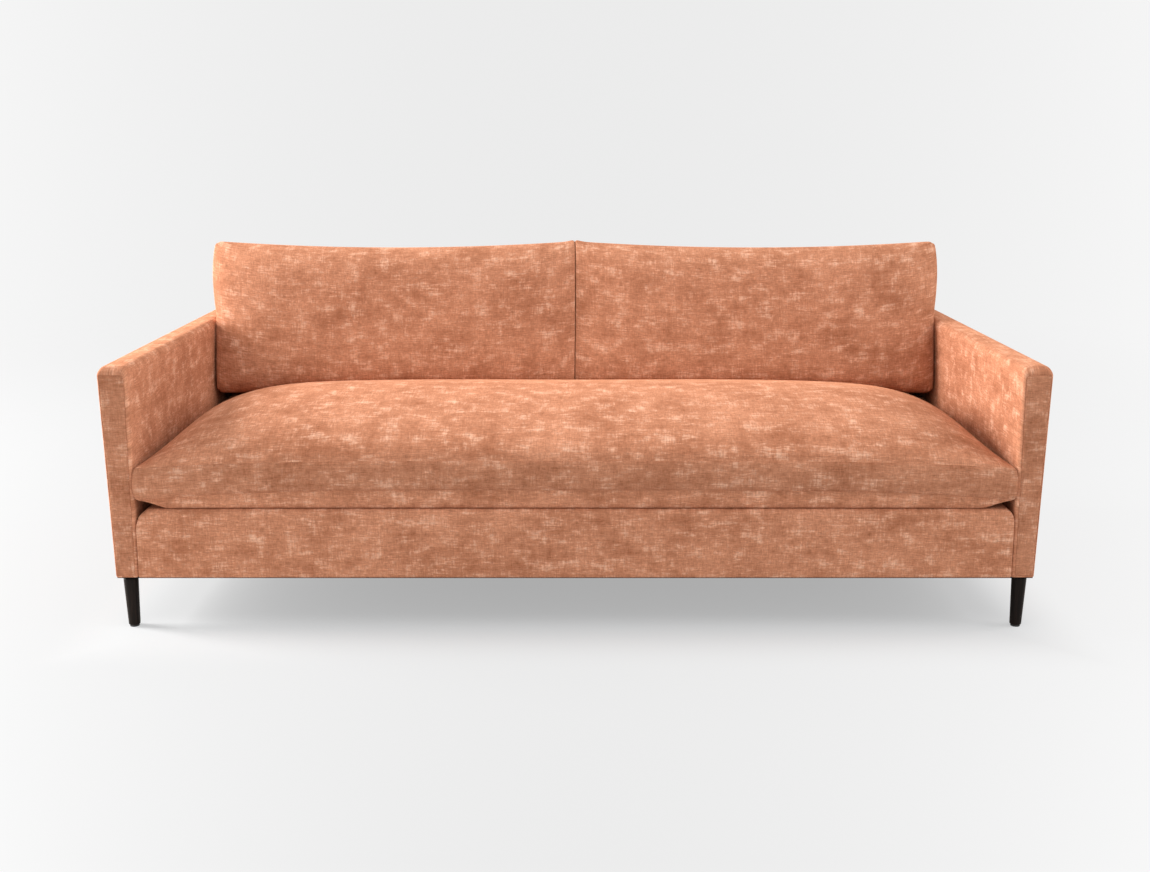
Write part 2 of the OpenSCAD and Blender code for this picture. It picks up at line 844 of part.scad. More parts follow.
// Seat cushion: half sizes, middle, and the shares that its rings stand at
seat_hx = arm_in_x(arm_h) - cushion_gap;
seat_y0 = y_front + seat_front_in;
seat_y1 = deck_end_y - cushion_gap;
seat_hy = (seat_y1 - seat_y0) / 2;
seat_my = (seat_y1 + seat_y0) / 2;
seam_share = 0.995;
crown_shares = [0.2, 0.4, 0.58, 0.73, 0.85, 0.93, 0.975];
belly_shares = [[0.98, 0.5], [0.955, 0.2], [0.92, 0.05], [0.8, 0], [0.4, 0]];
function flank(u) = 1 - pow(min(1, abs(u)), 4);
function seat_top_seam(u) = deck_z + seat_seam_h + seat_arch * flank(u);
function seat_low_seam(u) = deck_z + seat_low_h + seat_low_arch * flank(u);
// The crown rises steeply from the front and falls evenly to the rear
crest_v = seat_crest_in / seat_hy - 1;
function seat_rise(v) = v < crest_v
    ? pow(1 - pow((crest_v - max(-1, v)) / (1 + crest_v), 2), 0.55)
    : 1 - pow((min(1, v) - crest_v) / (1 - crest_v), 1.3);
function seat_top(u, v) =
    seat_top_seam(u) + seat_crown * pow(1 - pow(min(1, abs(u)), 10), 1.2) * seat_rise(v);
// The rear of the cushion follows the pitch of the inside back
function pitched(p, z) =
    [p.x, seat_my + p.y + (p.y / seat_hy / 2 + 0.5) * (z - deck_z) * tan(back_pitch), z];
seat_plan = plan(seat_hx, seat_hy, seat_r, 18, 7);
function seat_ring(share, z_of) =
    [for (p = share * seat_plan) pitched(p, z_of(p.x / seat_hx, p.y / seat_hy))];
module seat_form(low_shares = belly_shares) {
    ringed(
        pitched([0, 0], seat_top(0, 0)),
        concat(
            [for (s = crown_shares) seat_ring(s, function(u, v) seat_top(u, v))],
            [seat_ring(seam_share, function(u, v) seat_top_seam(u))],
            [seat_ring(1, function(u, v) (seat_top_seam(u) + seat_low_seam(u)) / 2)],
            [seat_ring(seam_share, function(u, v) seat_low_seam(u))],
            [for (s = low_shares)
                seat_ring(s[0], function(u, v) deck_z + rest_gap + s[1] * (seat_low_seam(u) - deck_z))]
        ),
        pitched([0, 0], deck_z + rest_gap)
    );
}
core_low_z = deck_z + wrap_low;
core_top_z = deck_z + seat_seam_h - wrap_top;
module seat_core_form(gap) {
    along_x(-seat_hx + wrap_side - gap, seat_hx - wrap_side + gap)
        polygon([
            [seat_y0 + wrap_side - gap, core_low_z - gap],
            [seat_y1 - wrap_side + gap, core_low_z - gap],
            [seat_y1 - wrap_side + gap + (core_top_z - core_low_z) * tan(back_pitch), core_top_z + gap],
            [seat_y0 + wrap_side - gap, core_top_z + gap]
        ]);
}

// Zips lie in the XY plane of their own frame, with the teeth along X and the cushion below
module zip_chain(half) {
    block([-half, -zip_w / 2, 0], [half, zip_w / 2, tape_t]);
    block([-half, -teeth_w / 2, tape_t], [half, teeth_w / 2, tape_t + teeth_t]);
}
module zip_slider(x) {
    side = teeth_w / 2 + slider_gap + slider_wall;
    roof = tape_t + teeth_t + slider_gap;
    difference() {
        block([x, -side, tape_t + slider_gap], [x + slider_l, side, roof + slider_wall]);
        block(
            [x - cut, -teeth_w / 2 - slider_gap, tape_t],
            [x + slider_l + cut, teeth_w / 2 + slider_gap, roof]
        );
    }
    block([x, -teeth_w / 2, roof + slider_wall], [x + pull_l, teeth_w / 2, roof + slider_wall + pull_t]);
}
module zip_recess(half, slit_deep) {
    block(
        [-half - slider_gap, -zip_w / 2 - slider_gap, 0],
        [half + slider_gap, zip_w / 2 + slider_gap, zip_deep + zip_deep]
    );
    block([-half + zip_w, -slit_h / 2, -slit_deep], [half - zip_w, slit_h / 2, cut]);
}
seat_zip_half = seat_hx - zip_end_in;
seat_zip_z = deck_z + (seat_seam_h + seat_low_h + seat_arch + seat_low_arch) / 2;
module at_seat_zip() {
    translate([0, seat_y1 + (seat_zip_z - deck_z) * tan(back_pitch), seat_zip_z])
        rotate([-90 - back_pitch, 0, 0])
            translate([0, 0, -zip_deep])
                children();
}
module seat_cushion() {
    color(fabric_rgb)
        difference() {
            seat_form();
            seat_core_form(core_gap);
            at_seat_zip() zip_recess(seat_zip_half, wrap_side);
        }
}
module seat_cushion_core() {
    color(foam_rgb) seat_core_form(0);
}
module seat_zip() {
    color(black_rgb) at_seat_zip() zip_chain(seat_zip_half);
}
module seat_zip_slider() {
    color(steel_rgb) at_seat_zip() zip_slider(-seat_zip_half);
}

// Back cushions in their own frame: X across, Y up the slope, Z towards the front. The right one is drawn
back_hx = (arm_in_x(arm_h) - cushion_gap - middle_gap / 2) / 2;
back_hy = back_cushion_h / 2;
back_mx = middle_gap / 2 + back_hx;
back_front_z = deck_z + back_cushion_up;
front_ring_shares = [0.35, 0.6, 0.76, 0.87, 0.94, 0.98];
boxing_shares = [[1, 0.25], [1, 0.7], [0.99, 1]];
// The crown rises fastest where the two cushions meet, and is fuller towards the foot than towards the top
function crown_side(u) = pow(flank(u), u < 0 ? 1 / 4 : 1 / 2);
function crown_end(v) = sqrt(1 - pow(min(1, abs(v)), v < 0 ? 8 : 5));
function back_crown_at(u, v) = back_crown * crown_side(u) * crown_end(v);
// The top edge dips between its corners
function dipped(p) = let (u = p.x / back_hx, v = p.y / back_hy)
    [p.x, p.y - back_dip * (1 - u * u) * pow(max(0, (v + 1) / 2), 4)];
back_plan = plan(back_hx, back_hy, back_r, 12, 9);
function back_ring(share, z_of) = [for (p = share * back_plan)
    let (q = dipped(p)) [q.x, q.y, z_of(p.x / back_hx, p.y / back_hy)]];
module back_form() {
    ringed(
        [0, 0, back_crown],
        concat(
            [for (s = front_ring_shares) back_ring(s, function(u, v) back_crown_at(u, v))],
            [back_ring(seam_share, function(u, v) 0)],
            [for (s = boxing_shares) back_ring(s[0], function(u, v) -s[1] * back_cushion_t)]
        ),
        [0, 0, -back_cushion_t]
    );
}
// Puts a thing from the cushion's own frame in its place against the inside back
back_set = rest_gap + back_cushion_t;
module at_right_back() {
    translate([back_mx, back_y(back_front_z, -back_set), back_front_z])
        rotate([90 - back_pitch, 0, 0])
            translate([0, back_hy, 0])
                children();
}
back_zip_half = back_hx - zip_end_in;
module at_back_zip() {
    translate([0, zip_up - back_hy, -back_cushion_t])
        rotate([180, 0, 0])
            translate([0, 0, -zip_deep])
                children();
}
module back_core_form(gap) {
    block(
        [-back_hx + wrap_side - gap, -back_hy + wrap_side - gap, -back_cushion_t + wrap_face - gap],
        [back_hx - wrap_side + gap, back_hy - wrap_side + gap, -wrap_face / 2 + gap]
    );
}
// The left cushion is the right one mirrored; both rest on the same seat and take its form
module back_cushion(side) {
    color(fabric_rgb)
        difference() {
            mirror([side == "left" ? 1 : 0, 0, 0])
                at_right_back()
                    difference() {
                        back_form();
                        back_core_form(core_gap);
                        at_back_zip() zip_recess(back_zip_half, wrap_face);
                    }
            translate([0, 0, rest_gap]) seat_form([belly_shares[0]]);
            block([-widest, seat_my, deck_z], [widest, y_back, seat_top_seam(0) + rest_gap]);
        }
}
module right_back_cushion_core() {
    color(foam_rgb) at_right_back() back_core_form(0);
}
module right_back_zip() {
    color(black_rgb) at_right_back() at_back_zip() zip_chain(back_zip_half);
}
module right_back_zip_slider() {
    color(steel_rgb) at_right_back() at_back_zip() zip_slider(-back_zip_half);
}
module left_back_zip_slider() {
    color(steel_rgb)
        translate([-2 * back_mx, 0, 0]) at_right_back() at_back_zip() zip_slider(-back_zip_half);
}

leg(-arm_x, leg_y[0]);  // front_left_leg
leg(arm_x, leg_y[0]);  // front_right_leg
leg(-arm_x, leg_y[1]);  // rear_left_leg
leg(arm_x, leg_y[1]);  // rear_right_leg
leg_glides();
leg_bolts();
leg_inserts();
front_rail();
rear_seat_rail();
side_rails();
cross_rails();
corner_blocks();
block_screws();
mirror([1, 0, 0]) arm_front_post();  // left_arm_front_post
mirror([1, 0, 0]) arm_rear_post();  // left_arm_rear_post
mirror([1, 0, 0]) arm_top_rail();  // left_arm_top_rail
mirror([1, 0, 0]) arm_bottom_rail();  // left_arm_bottom_rail
mirror([1, 0, 0]) arm_tack_rail();  // left_arm_tack_rail
mirror([1, 0, 0]) arm_panels();  // left_arm_panels
mirror([1, 0, 0]) arm_padding();  // left_arm_padding
mirror([1, 0, 0]) arm_cover();  // left_arm_cover
arm_front_post();  // right_arm_front_post
arm_rear_post();  // right_arm_rear_post
arm_top_rail();  // right_arm_top_rail
arm_bottom_rail();  // right_arm_bottom_rail
arm_tack_rail();  // right_arm_tack_rail
arm_panels();  // right_arm_panels
arm_padding();  // right_arm_padding
arm_cover();  // right_arm_cover
back_posts();
back_top_rail();
back_tack_rail();
back_bottom_rail();
back_webbing();
back_padding();
back_cover();
unit_bolts();
unit_inserts();
seat_springs();
spring_clips();
hessian();
deck_padding();
deck_cover();
border_padding();
border_cover();
dust_cover();
seat_cushion();
seat_cushion_core();
seat_zip();
seat_zip_slider();
back_cushion("left");  // left_back_cushion
mirror([1, 0, 0]) right_back_cushion_core();  // left_back_cushion_core
mirror([1, 0, 0]) right_back_zip();  // left_back_zip
left_back_zip_slider();
back_cushion("right");  // right_back_cushion
right_back_cushion_core();
right_back_zip();
right_back_zip_slider();
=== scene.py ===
import math

import bmesh
import bpy
import numpy as np
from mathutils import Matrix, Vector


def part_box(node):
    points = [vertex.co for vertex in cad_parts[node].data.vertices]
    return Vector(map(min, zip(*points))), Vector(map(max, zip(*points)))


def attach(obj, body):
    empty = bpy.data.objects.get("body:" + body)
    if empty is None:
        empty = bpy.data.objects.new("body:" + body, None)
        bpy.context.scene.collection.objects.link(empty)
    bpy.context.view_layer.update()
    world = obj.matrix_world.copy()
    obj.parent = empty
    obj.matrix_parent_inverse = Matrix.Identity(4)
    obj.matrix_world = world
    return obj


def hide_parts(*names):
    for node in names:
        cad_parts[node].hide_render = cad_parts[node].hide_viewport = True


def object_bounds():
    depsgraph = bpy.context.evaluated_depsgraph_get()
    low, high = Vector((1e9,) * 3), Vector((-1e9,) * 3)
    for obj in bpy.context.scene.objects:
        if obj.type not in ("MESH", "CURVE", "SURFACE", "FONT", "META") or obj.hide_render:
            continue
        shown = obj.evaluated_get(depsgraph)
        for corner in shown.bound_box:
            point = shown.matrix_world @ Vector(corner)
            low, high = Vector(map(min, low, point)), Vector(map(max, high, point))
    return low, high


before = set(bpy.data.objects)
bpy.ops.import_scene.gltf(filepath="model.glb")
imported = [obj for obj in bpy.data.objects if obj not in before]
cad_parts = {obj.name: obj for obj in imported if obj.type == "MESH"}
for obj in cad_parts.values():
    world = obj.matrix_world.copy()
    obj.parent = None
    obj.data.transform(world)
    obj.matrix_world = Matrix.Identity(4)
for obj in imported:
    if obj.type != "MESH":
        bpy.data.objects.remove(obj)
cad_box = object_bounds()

# The room: a pale sweep of floor and backdrop, seen from chest height in front of the sofa.
# The photograph was taken straight on, 2.89 m in front of the arms, with the lens pitched a little down.
eye_ahead, eye_z, look_down = 2.893, 1.165, 13.43
front_y = cad_box[0][1]
eye_y = front_y - eye_ahead
camera_data = bpy.data.cameras.new("camera")
camera_data.lens = 40.38
camera_data.sensor_width = 36.0
camera_data.sensor_fit = "HORIZONTAL"
camera = bpy.data.objects.new("camera", camera_data)
camera.location = (0.0, eye_y, eye_z)
camera.rotation_euler = (math.radians(90.0 - look_down), 0.0, 0.0)
bpy.context.scene.collection.objects.link(camera)
bpy.context.scene.camera = camera
bpy.context.scene.view_settings.view_transform = "Standard"


class Shader:
    """A material's node tree, with short calls that add a node and wire its inputs."""

    def __init__(self, name, tree=None):
        """An empty tree: the one that is given, or that of a new material."""
        if tree is None:
            self.material = bpy.data.materials.new(name)
            self.material.use_nodes = True
            tree = self.material.node_tree
        self.tree = tree
        tree.nodes.clear()

    def node(self, kind, settings=None, **inputs):
        """A node with its settings. Each input is linked or set, and goes by its name, or as i and its
        number."""
        made = self.tree.nodes.new(kind)
        for key, value in (settings or {}).items():
            setattr(made, key, value)
        for key, value in inputs.items():
            numbered = key[0] == "i" and key[1:].isdigit()
            socket = made.inputs[int(key[1:]) if numbered else key.replace("_", " ")]
            if isinstance(value, bpy.types.NodeSocket):
                self.tree.links.new(value, socket)
            else:
                socket.default_value = value
        return made

    def math(self, operation, a, b=0.0, c=0.0, clamp=False):
        """The result of one sum on up to three values."""
        made = self.node("ShaderNodeMath", {"operation": operation, "use_clamp": clamp}, i0=a, i1=b, i2=c)
        return made.outputs[0]

    def noise(self, vector, scale, detail=2.0, roughness=0.5):
        """Noise between 0 and 1 whose cells are one unit over scale wide on each axis of the vector."""
        stretched = self.node(
            "ShaderNodeVectorMath", {"operation": "MULTIPLY"}, i0=vector, i1=scale
        ).outputs[0]
        made = self.node(
            "ShaderNodeTexNoise", Vector=stretched, Scale=1.0, Detail=detail, Roughness=roughness
        )
        return made.outputs["Fac"]

    def ramp(self, factor, low, high):
        """The factor stretched so that low gives 0 and high gives 1, eased at both ends."""
        made = self.node(
            "ShaderNodeMapRange", {"interpolation_type": "SMOOTHSTEP"},
            Value=factor, From_Min=low, From_Max=high, To_Min=0.0, To_Max=1.0
        )
        return made.outputs[0]

    def mix(self, factor, a, b):
        """Colour a where the factor is 0, colour b where it is 1."""
        made = self.node("ShaderNodeMix", {"data_type": "RGBA"}, i0=factor, i6=a, i7=b)
        return made.outputs[2]


# The sweep brightens a little towards both sides, as the studio's does in the photograph. The backdrop is a
# world colour that only looks and reflections see. Daylight of another strength lights the sofa.
# Painted light: the sweep's glow is raised towards both sides, in place of light that falls brighter there.
sweep_middle, sweep_painted_rise = 0.835, 0.42


def sweep_tone(shader, x, y_from_eye):
    """Grey level of the sweep: its middle tone, raised with the square of sideways over forwards, as painted
    light.
    """
    slant = shader.math("DIVIDE", x, y_from_eye)
    squared = shader.math("MULTIPLY", slant, slant)
    return shader.math("MULTIPLY_ADD", squared, sweep_painted_rise, sweep_middle, clamp=True)


world = bpy.data.worlds.new("studio")
world.use_nodes = True
bpy.context.scene.world = world
sky = Shader("studio", world.node_tree)
gaze = sky.node("ShaderNodeSeparateXYZ", Vector=sky.node("ShaderNodeTexCoord").outputs["Generated"])
ahead = sky.math("MAXIMUM", sky.math("ABSOLUTE", gaze.outputs[1]), 0.9)
tone = sweep_tone(sky, gaze.outputs[0], ahead)
paths = sky.node("ShaderNodeLightPath")
seen = sky.math(
    "MAXIMUM", paths.outputs["Is Camera Ray"],
    sky.math("MAXIMUM", paths.outputs["Is Glossy Ray"], paths.outputs["Is Transmission Ray"])
)
backdrop_colour = sky.node("ShaderNodeCombineColor", i0=tone, i1=tone, i2=tone).outputs[0]
backdrop = sky.node("ShaderNodeBackground", Color=backdrop_colour)
daylight = sky.node("ShaderNodeBackground", Color=(1.0, 0.985, 0.97, 1.0), Strength=0.69)
sky_mix = sky.node("ShaderNodeMixShader", i0=seen, i1=daylight.outputs[0], i2=backdrop.outputs[0])
sky.node("ShaderNodeOutputWorld", Surface=sky_mix.outputs[0])

# The floor is matt paper that takes the sofa's shadow. To the camera it also gives off the sweep's tone,
# less of it under the sofa and close beside it, where the shadow lies, and far out it fades away in front
# of the backdrop.
floor_half, fade_from, fade_to = 12.0, 2.2, 5.5
shadow_under, shadow_fade = 0.10, 0.25
lit_under, lit_clear = 0.485, 0.44
floor_corners = [(x * floor_half, y * floor_half, 0) for x, y in ((-1, -1), (1, -1), (1, 1), (-1, 1))]
floor_mesh = bpy.data.meshes.new("floor")
floor_mesh.from_pydata(floor_corners, [], [(0, 1, 2, 3)])
floor = bpy.data.objects.new("floor", floor_mesh)
bpy.context.scene.collection.objects.link(floor)
ground = Shader("floor_sweep")
floor_place = ground.node("ShaderNodeTexCoord").outputs["Object"]
floor_xy = ground.node("ShaderNodeSeparateXYZ", Vector=floor_place)
from_eye = ground.math("ABSOLUTE", ground.math("SUBTRACT", floor_xy.outputs[1], eye_y))
reach = ground.math("MAXIMUM", from_eye, 1.0)
tone = sweep_tone(ground, floor_xy.outputs[0], reach)
tone_colour = ground.node("ShaderNodeCombineColor", i0=tone, i1=tone, i2=tone).outputs[0]
looked_at = ground.node("ShaderNodeLightPath").outputs["Is Camera Ray"]
paper_colour = ground.mix(looked_at, (0.66, 0.65, 0.64, 1.0), (0.515, 0.525, 0.54, 1.0))
matt = ground.node("ShaderNodeBsdfDiffuse", Color=paper_colour)
lit = ground.node("ShaderNodeEmission", Color=tone_colour)
shadow_x = cad_box[1][0] - shadow_under
beside_x = ground.math("SUBTRACT", ground.math("ABSOLUTE", floor_xy.outputs[0]), shadow_x)
beside_y = ground.math("SUBTRACT", ground.math("ABSOLUTE", floor_xy.outputs[1]), cad_box[1][1])
clear = ground.ramp(ground.math("MAXIMUM", beside_x, beside_y), 0.0, shadow_fade)
share_lit = ground.math("MULTIPLY", looked_at, ground.math("MULTIPLY_ADD", clear, lit_clear, lit_under))
paper = ground.node("ShaderNodeMixShader", i0=share_lit, i1=matt.outputs[0], i2=lit.outputs[0])
span = ground.node("ShaderNodeVectorMath", {"operation": "LENGTH"}, i0=floor_place)
fade = ground.ramp(span.outputs["Value"], fade_from, fade_to)
gone = ground.node("ShaderNodeBsdfTransparent")
floor_mix = ground.node("ShaderNodeMixShader", i0=fade, i1=paper.outputs[0], i2=gone.outputs[0])
ground.node("ShaderNodeOutputMaterial", Surface=floor_mix.outputs[0])
floor_mesh.materials.append(ground.material)


# Four soft lamps: a bright window at the left and a dimmer one at the right, both high beside the sofa,
# a panel under the ceiling in front of it, and a weak fill from behind the camera.
def lamp(name, place, target, size, power, colour):
    """An oblong area light at place, turned to face target."""
    data = bpy.data.lights.new(name, "AREA")
    data.shape = "RECTANGLE"
    data.size, data.size_y = size
    data.energy = power
    data.color = colour
    made = bpy.data.objects.new(name, data)
    made.location = place
    away = np.subtract(place, target)
    away = away / np.linalg.norm(away)
    made.rotation_euler = (math.acos(away[2]), 0.0, math.atan2(away[0], -away[1]))
    bpy.context.scene.collection.objects.link(made)


lamp("window_left", (-5.2, 0.35, 2.2), (0.4, 0.0, 0.4), (1.8, 3.0), 660.0, (1.0, 0.98, 0.95))
lamp("window_right", (5.4, -0.4, 2.8), (-0.4, 0.0, 0.4), (3.6, 3.0), 185.0, (1.0, 0.98, 0.96))
lamp("ceiling", (0.0, -1.6, 3.3), (0.0, 0.0, 0.4), (4.2, 2.2), 41.0, (1.0, 0.99, 0.97))
lamp("front_fill", (1.5, -5.2, 1.5), (0.2, 0.0, 0.4), (4.0, 2.0), 16.0, (1.0, 0.98, 0.96))

# The four legs: round tapered wood, turned, stained nearly black and lacquered.
# Each screws up into an arm post on a hanger bolt and stands on a plastic glide.
stain = Shader("stained_wood")
grain_place = stain.node("ShaderNodeTexCoord").outputs["Object"]
grain = stain.noise(grain_place, (220.0, 220.0, 9.0), 4.0, 0.6)
pores = stain.noise(grain_place, (900.0, 900.0, 40.0), 2.0, 0.6)
stain_dark, stain_light = (0.0050, 0.0032, 0.0026, 1.0), (0.014, 0.0080, 0.0058, 1.0)
stain_colour = stain.mix(stain.ramp(grain, 0.35, 0.75), stain_dark, stain_light)
stain_bump = stain.node("ShaderNodeBump", Strength=0.12, Distance=0.0004, Height=pores)
stain_body = stain.node(
    "ShaderNodeBsdfPrincipled", Base_Color=stain_colour, Normal=stain_bump.outputs[0],
    Roughness=stain.math("MULTIPLY_ADD", grain, 0.14, 0.36), Specular_IOR_Level=0.10
)
stain.node("ShaderNodeOutputMaterial", Surface=stain_body.outputs[0])


# How far from a seam a panel has its rows of points, so that they follow the groove along it
seam_steps = np.array([0.0005, 0.0010, 0.0016, 0.0024])


def build(name, grids, material, body, caps=()):
    """One closed mesh from grids of points, each with its own UV in metres, and caps over loops of points.
    A cap is rings drawn in towards the loop's middle: first by the seam steps and 5 mm, then by 8 mm and by
    shares of the way. A small face fills its middle. Along y it stands out by its lip times 1 less e to the
    power of less the squared distance from the loop over 1.2 mm, which leaves the seam's groove, and by its
    puff times 1 less the sixth power of the share. Points that fall together are merged, and the faces are
    turned outwards."""
    points, uvs, faces, corners, start = [], [], [], [], 0
    grids, middles = list(grids), []
    insets = np.concatenate([[0.0], seam_steps, [0.005]])
    inner_shares = (1.0, 0.93, 0.84, 0.72, 0.56, 0.38, 0.2, 0.05)
    edge_in, groove_half_w = 0.008, 0.0012
    for place, uv, lip, puff in caps:
        both = np.concatenate([place, uv], axis=1)
        centre = both.mean(axis=0)
        spoke = np.linalg.norm(place - centre[:3], axis=1, keepdims=True)
        shares = [1.0 - inset / spoke for inset in insets]
        shares += [share * (1.0 - edge_in / spoke) for share in inner_shares]
        rings = np.stack([centre + share * (both - centre) for share in shares])
        out_of_seam = np.ones(len(shares))
        out_of_seam[:len(insets)] = 1.0 - np.exp(-((insets / groove_half_w) ** 2))
        puffed = np.stack([1.0 - share[:, 0] ** 6 for share in shares])
        rings[..., 1] += lip * out_of_seam[:, None] + puff * puffed
        closed = np.concatenate([rings, rings[:, :1]], axis=1)
        grids.append((closed[..., :3], closed[..., 3:]))
        middles.append((rings[-1, :, :3], rings[-1, :, 3:]))
    for place, uv in grids:
        rows, cols = place.shape[:2]
        number = start + np.arange(rows * cols).reshape(rows, cols)
        quads = np.stack([number[:-1, :-1], number[:-1, 1:], number[1:, 1:], number[1:, :-1]], axis=-1)
        faces += quads.reshape(-1, 4).tolist()
        corners.append(quads.reshape(-1))
        points.append(place.reshape(-1, 3))
        uvs.append(uv.reshape(-1, 2))
        start += rows * cols
    for place, uv in middles:
        number = start + np.arange(len(place))
        faces.append(number.tolist())
        corners.append(number)
        points.append(place)
        uvs.append(uv)
        start += len(place)
    mesh = bpy.data.meshes.new(name)
    mesh.from_pydata(np.concatenate(points).tolist(), [], faces)
    layer = mesh.uv_layers.new(name="weave")
    layer.data.foreach_set("uv", np.concatenate(uvs)[np.concatenate(corners)].astype(np.float32).ravel())
    work = bmesh.new()
    work.from_mesh(mesh)
    bmesh.ops.remove_doubles(work, verts=work.verts, dist=0.00002)
    bmesh.ops.dissolve_degenerate(work, edges=work.edges, dist=0.00001)
    bmesh.ops.triangulate(work, faces=[f for f in work.faces if len(f.verts) > 4])
    bmesh.ops.recalc_face_normals(work, faces=work.faces)
    work.to_mesh(mesh)
    work.free()
    mesh.polygons.foreach_set("use_smooth", np.ones(len(mesh.polygons), dtype=bool))
    mesh.materials.append(material)
    made = bpy.data.objects.new(name, mesh)
    bpy.context.scene.collection.objects.link(made)
    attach(made, body)
    return made


def turned(profile, x, y, steps=64):
    """A profile of (radius, height) rows turned about the upright axis through x and y: at each angle a
    point lies at its radius times the angle's cosine in x and its sine in y."""
    angle = np.linspace(0.0, 2.0 * np.pi, steps + 1)
    radius, height = profile[:, 0][:, None], profile[:, 1][:, None]
    place = np.stack([x + radius * np.cos(angle), y + radius * np.sin(angle), height + 0.0 * angle], axis=-1)
    return place, np.stack([radius.max() * angle + 0.0 * height, height + 0.0 * angle], axis=-1)


leg_top_r, leg_foot_r, foot_round, shank_from = 0.0175, 0.0135, 0.003, 0.08
for leg in ("front_left_leg", "front_right_leg", "rear_left_leg", "rear_right_leg"):
    low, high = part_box(leg)
    bend = np.linspace(0.0, np.pi / 2.0, 7)
    foot = np.stack([
        leg_foot_r - foot_round * (1.0 - np.sin(bend)), low[2] + foot_round * (1.0 - np.cos(bend))
    ], axis=-1)
    rise = np.linspace(shank_from, 1.0, 12)[:, None]
    shank = np.array([[leg_foot_r, low[2]]]) + rise * np.array([[leg_top_r - leg_foot_r, high[2] - low[2]]])
    profile = np.concatenate([[[0.0, low[2]]], foot, shank, [[0.0, high[2]]]])
    leg_surface = turned(profile, (low[0] + high[0]) / 2.0, (low[1] + high[1]) / 2.0)
    turned_leg = build(leg + "_turned", [leg_surface], stain.material, "frame")
    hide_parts(leg)

# The upholstery cloth: a woven chenille in terracotta, rubbed paler in short crossed slubs. One cloth
# covers the arms, the back, the border, the deck and every cushion, each from its own stretch of the weave.
# The strips on the arm fronts and round the cushions are cut with the nap the other way, and their places in
# the weave lie strip_v further up. Their colour is darkened by 14%: painted shade that makes them look less
# lit than the border and the back.
strip_v, strip_painted_shade = 20.0, 0.14
# Where each cover's stretch of the weave starts, in metres: u along the weave and v up it
arm_u, border_u, deck_u, back_u, seat_u, pillow_u = 3.1, 11.0, 15.0, 19.0, 23.0, 31.0
arm_front_u, arm_rear_u, pillow_step_u, pillow_v, bottom_v = 7.7, 10.0, 3.0, 5.0, 2.0
cloth = Shader("chenille")
weave_uv = cloth.node("ShaderNodeUVMap", {"uv_map": "weave"}).outputs[0]
across = cloth.noise(weave_uv, (28.0, 210.0, 1.0), 3.0, 0.65)
along = cloth.noise(weave_uv, (210.0, 28.0, 1.0), 3.0, 0.65)
cloud = cloth.noise(weave_uv, (7.0, 9.0, 1.0), 3.0, 0.55)
patch = cloth.noise(weave_uv, (22.0, 28.0, 1.0), 3.0, 0.6)
band = cloth.noise(weave_uv, (11.0, 75.0, 1.0), 3.0, 0.6)
post = cloth.noise(weave_uv, (75.0, 11.0, 1.0), 3.0, 0.6)
yarn_across = cloth.noise(weave_uv, (70.0, 330.0, 1.0), 3.0, 0.75)
yarn_along = cloth.noise(weave_uv, (330.0, 70.0, 1.0), 3.0, 0.75)


def weighted(*pairs):
    """The sum of several noises, each with its weight."""
    total = cloth.math("MULTIPLY", *pairs[0])
    for noise, weight in pairs[1:]:
        total = cloth.math("MULTIPLY_ADD", noise, weight, total)
    return total


slubs = weighted((across, 0.58), (along, 0.42))
yarns = weighted((yarn_across, 0.58), (yarn_along, 0.42))
rubbed = weighted((slubs, 0.40), (patch, 0.38), (band, 0.12), (post, 0.10))
cloth_deep = (0.330, 0.127, 0.067, 1.0)
cloth_middle = (0.540, 0.244, 0.143, 1.0)
cloth_pale = (0.740, 0.458, 0.328, 1.0)
shade = weighted((cloud, 0.28), (band, 0.12), (post, 0.08), (patch, 0.26), (slubs, 0.26))
unworn_tone = cloth.mix(cloth.ramp(shade, 0.36, 0.60), cloth_deep, cloth_middle)
worn = cloth.math("MULTIPLY", cloth.ramp(rubbed, 0.50, 0.66), 0.85)
blend_tone = cloth.mix(worn, unworn_tone, cloth_pale)
weave_v = cloth.node("ShaderNodeSeparateXYZ", Vector=weave_uv).outputs[1]
is_strip = cloth.math("GREATER_THAN", weave_v, strip_v / 2.0)
# Painted shade: the strips' colour is darkened by 14%, so that they look less lit than the other faces.
painted_strip_shade = cloth.math("MULTIPLY_ADD", is_strip, -strip_painted_shade, 1.0)
yarn_tone_painted_shade = cloth.math("MULTIPLY", cloth.math("MULTIPLY_ADD", yarns, 2.0, -0.02), painted_strip_shade)
cloth_colour = cloth.node(
    "ShaderNodeVectorMath", {"operation": "SCALE"}, i0=blend_tone, Scale=yarn_tone_painted_shade
).outputs[0]
relief = weighted((yarns, 0.7), (slubs, 0.5))
cloth_bump = cloth.node("ShaderNodeBump", Strength=0.35, Distance=0.0012, Height=relief)
cloth_body = cloth.node(
    "ShaderNodeBsdfPrincipled", Base_Color=cloth_colour, Roughness=0.92, Normal=cloth_bump.outputs[0],
    Sheen_Weight=0.24, Sheen_Roughness=0.35, Sheen_Tint=(1.0, 0.47, 0.26, 1.0), Specular_IOR_Level=0.03
)
cloth.node("ShaderNodeOutputMaterial", Surface=cloth_body.outputs[0])


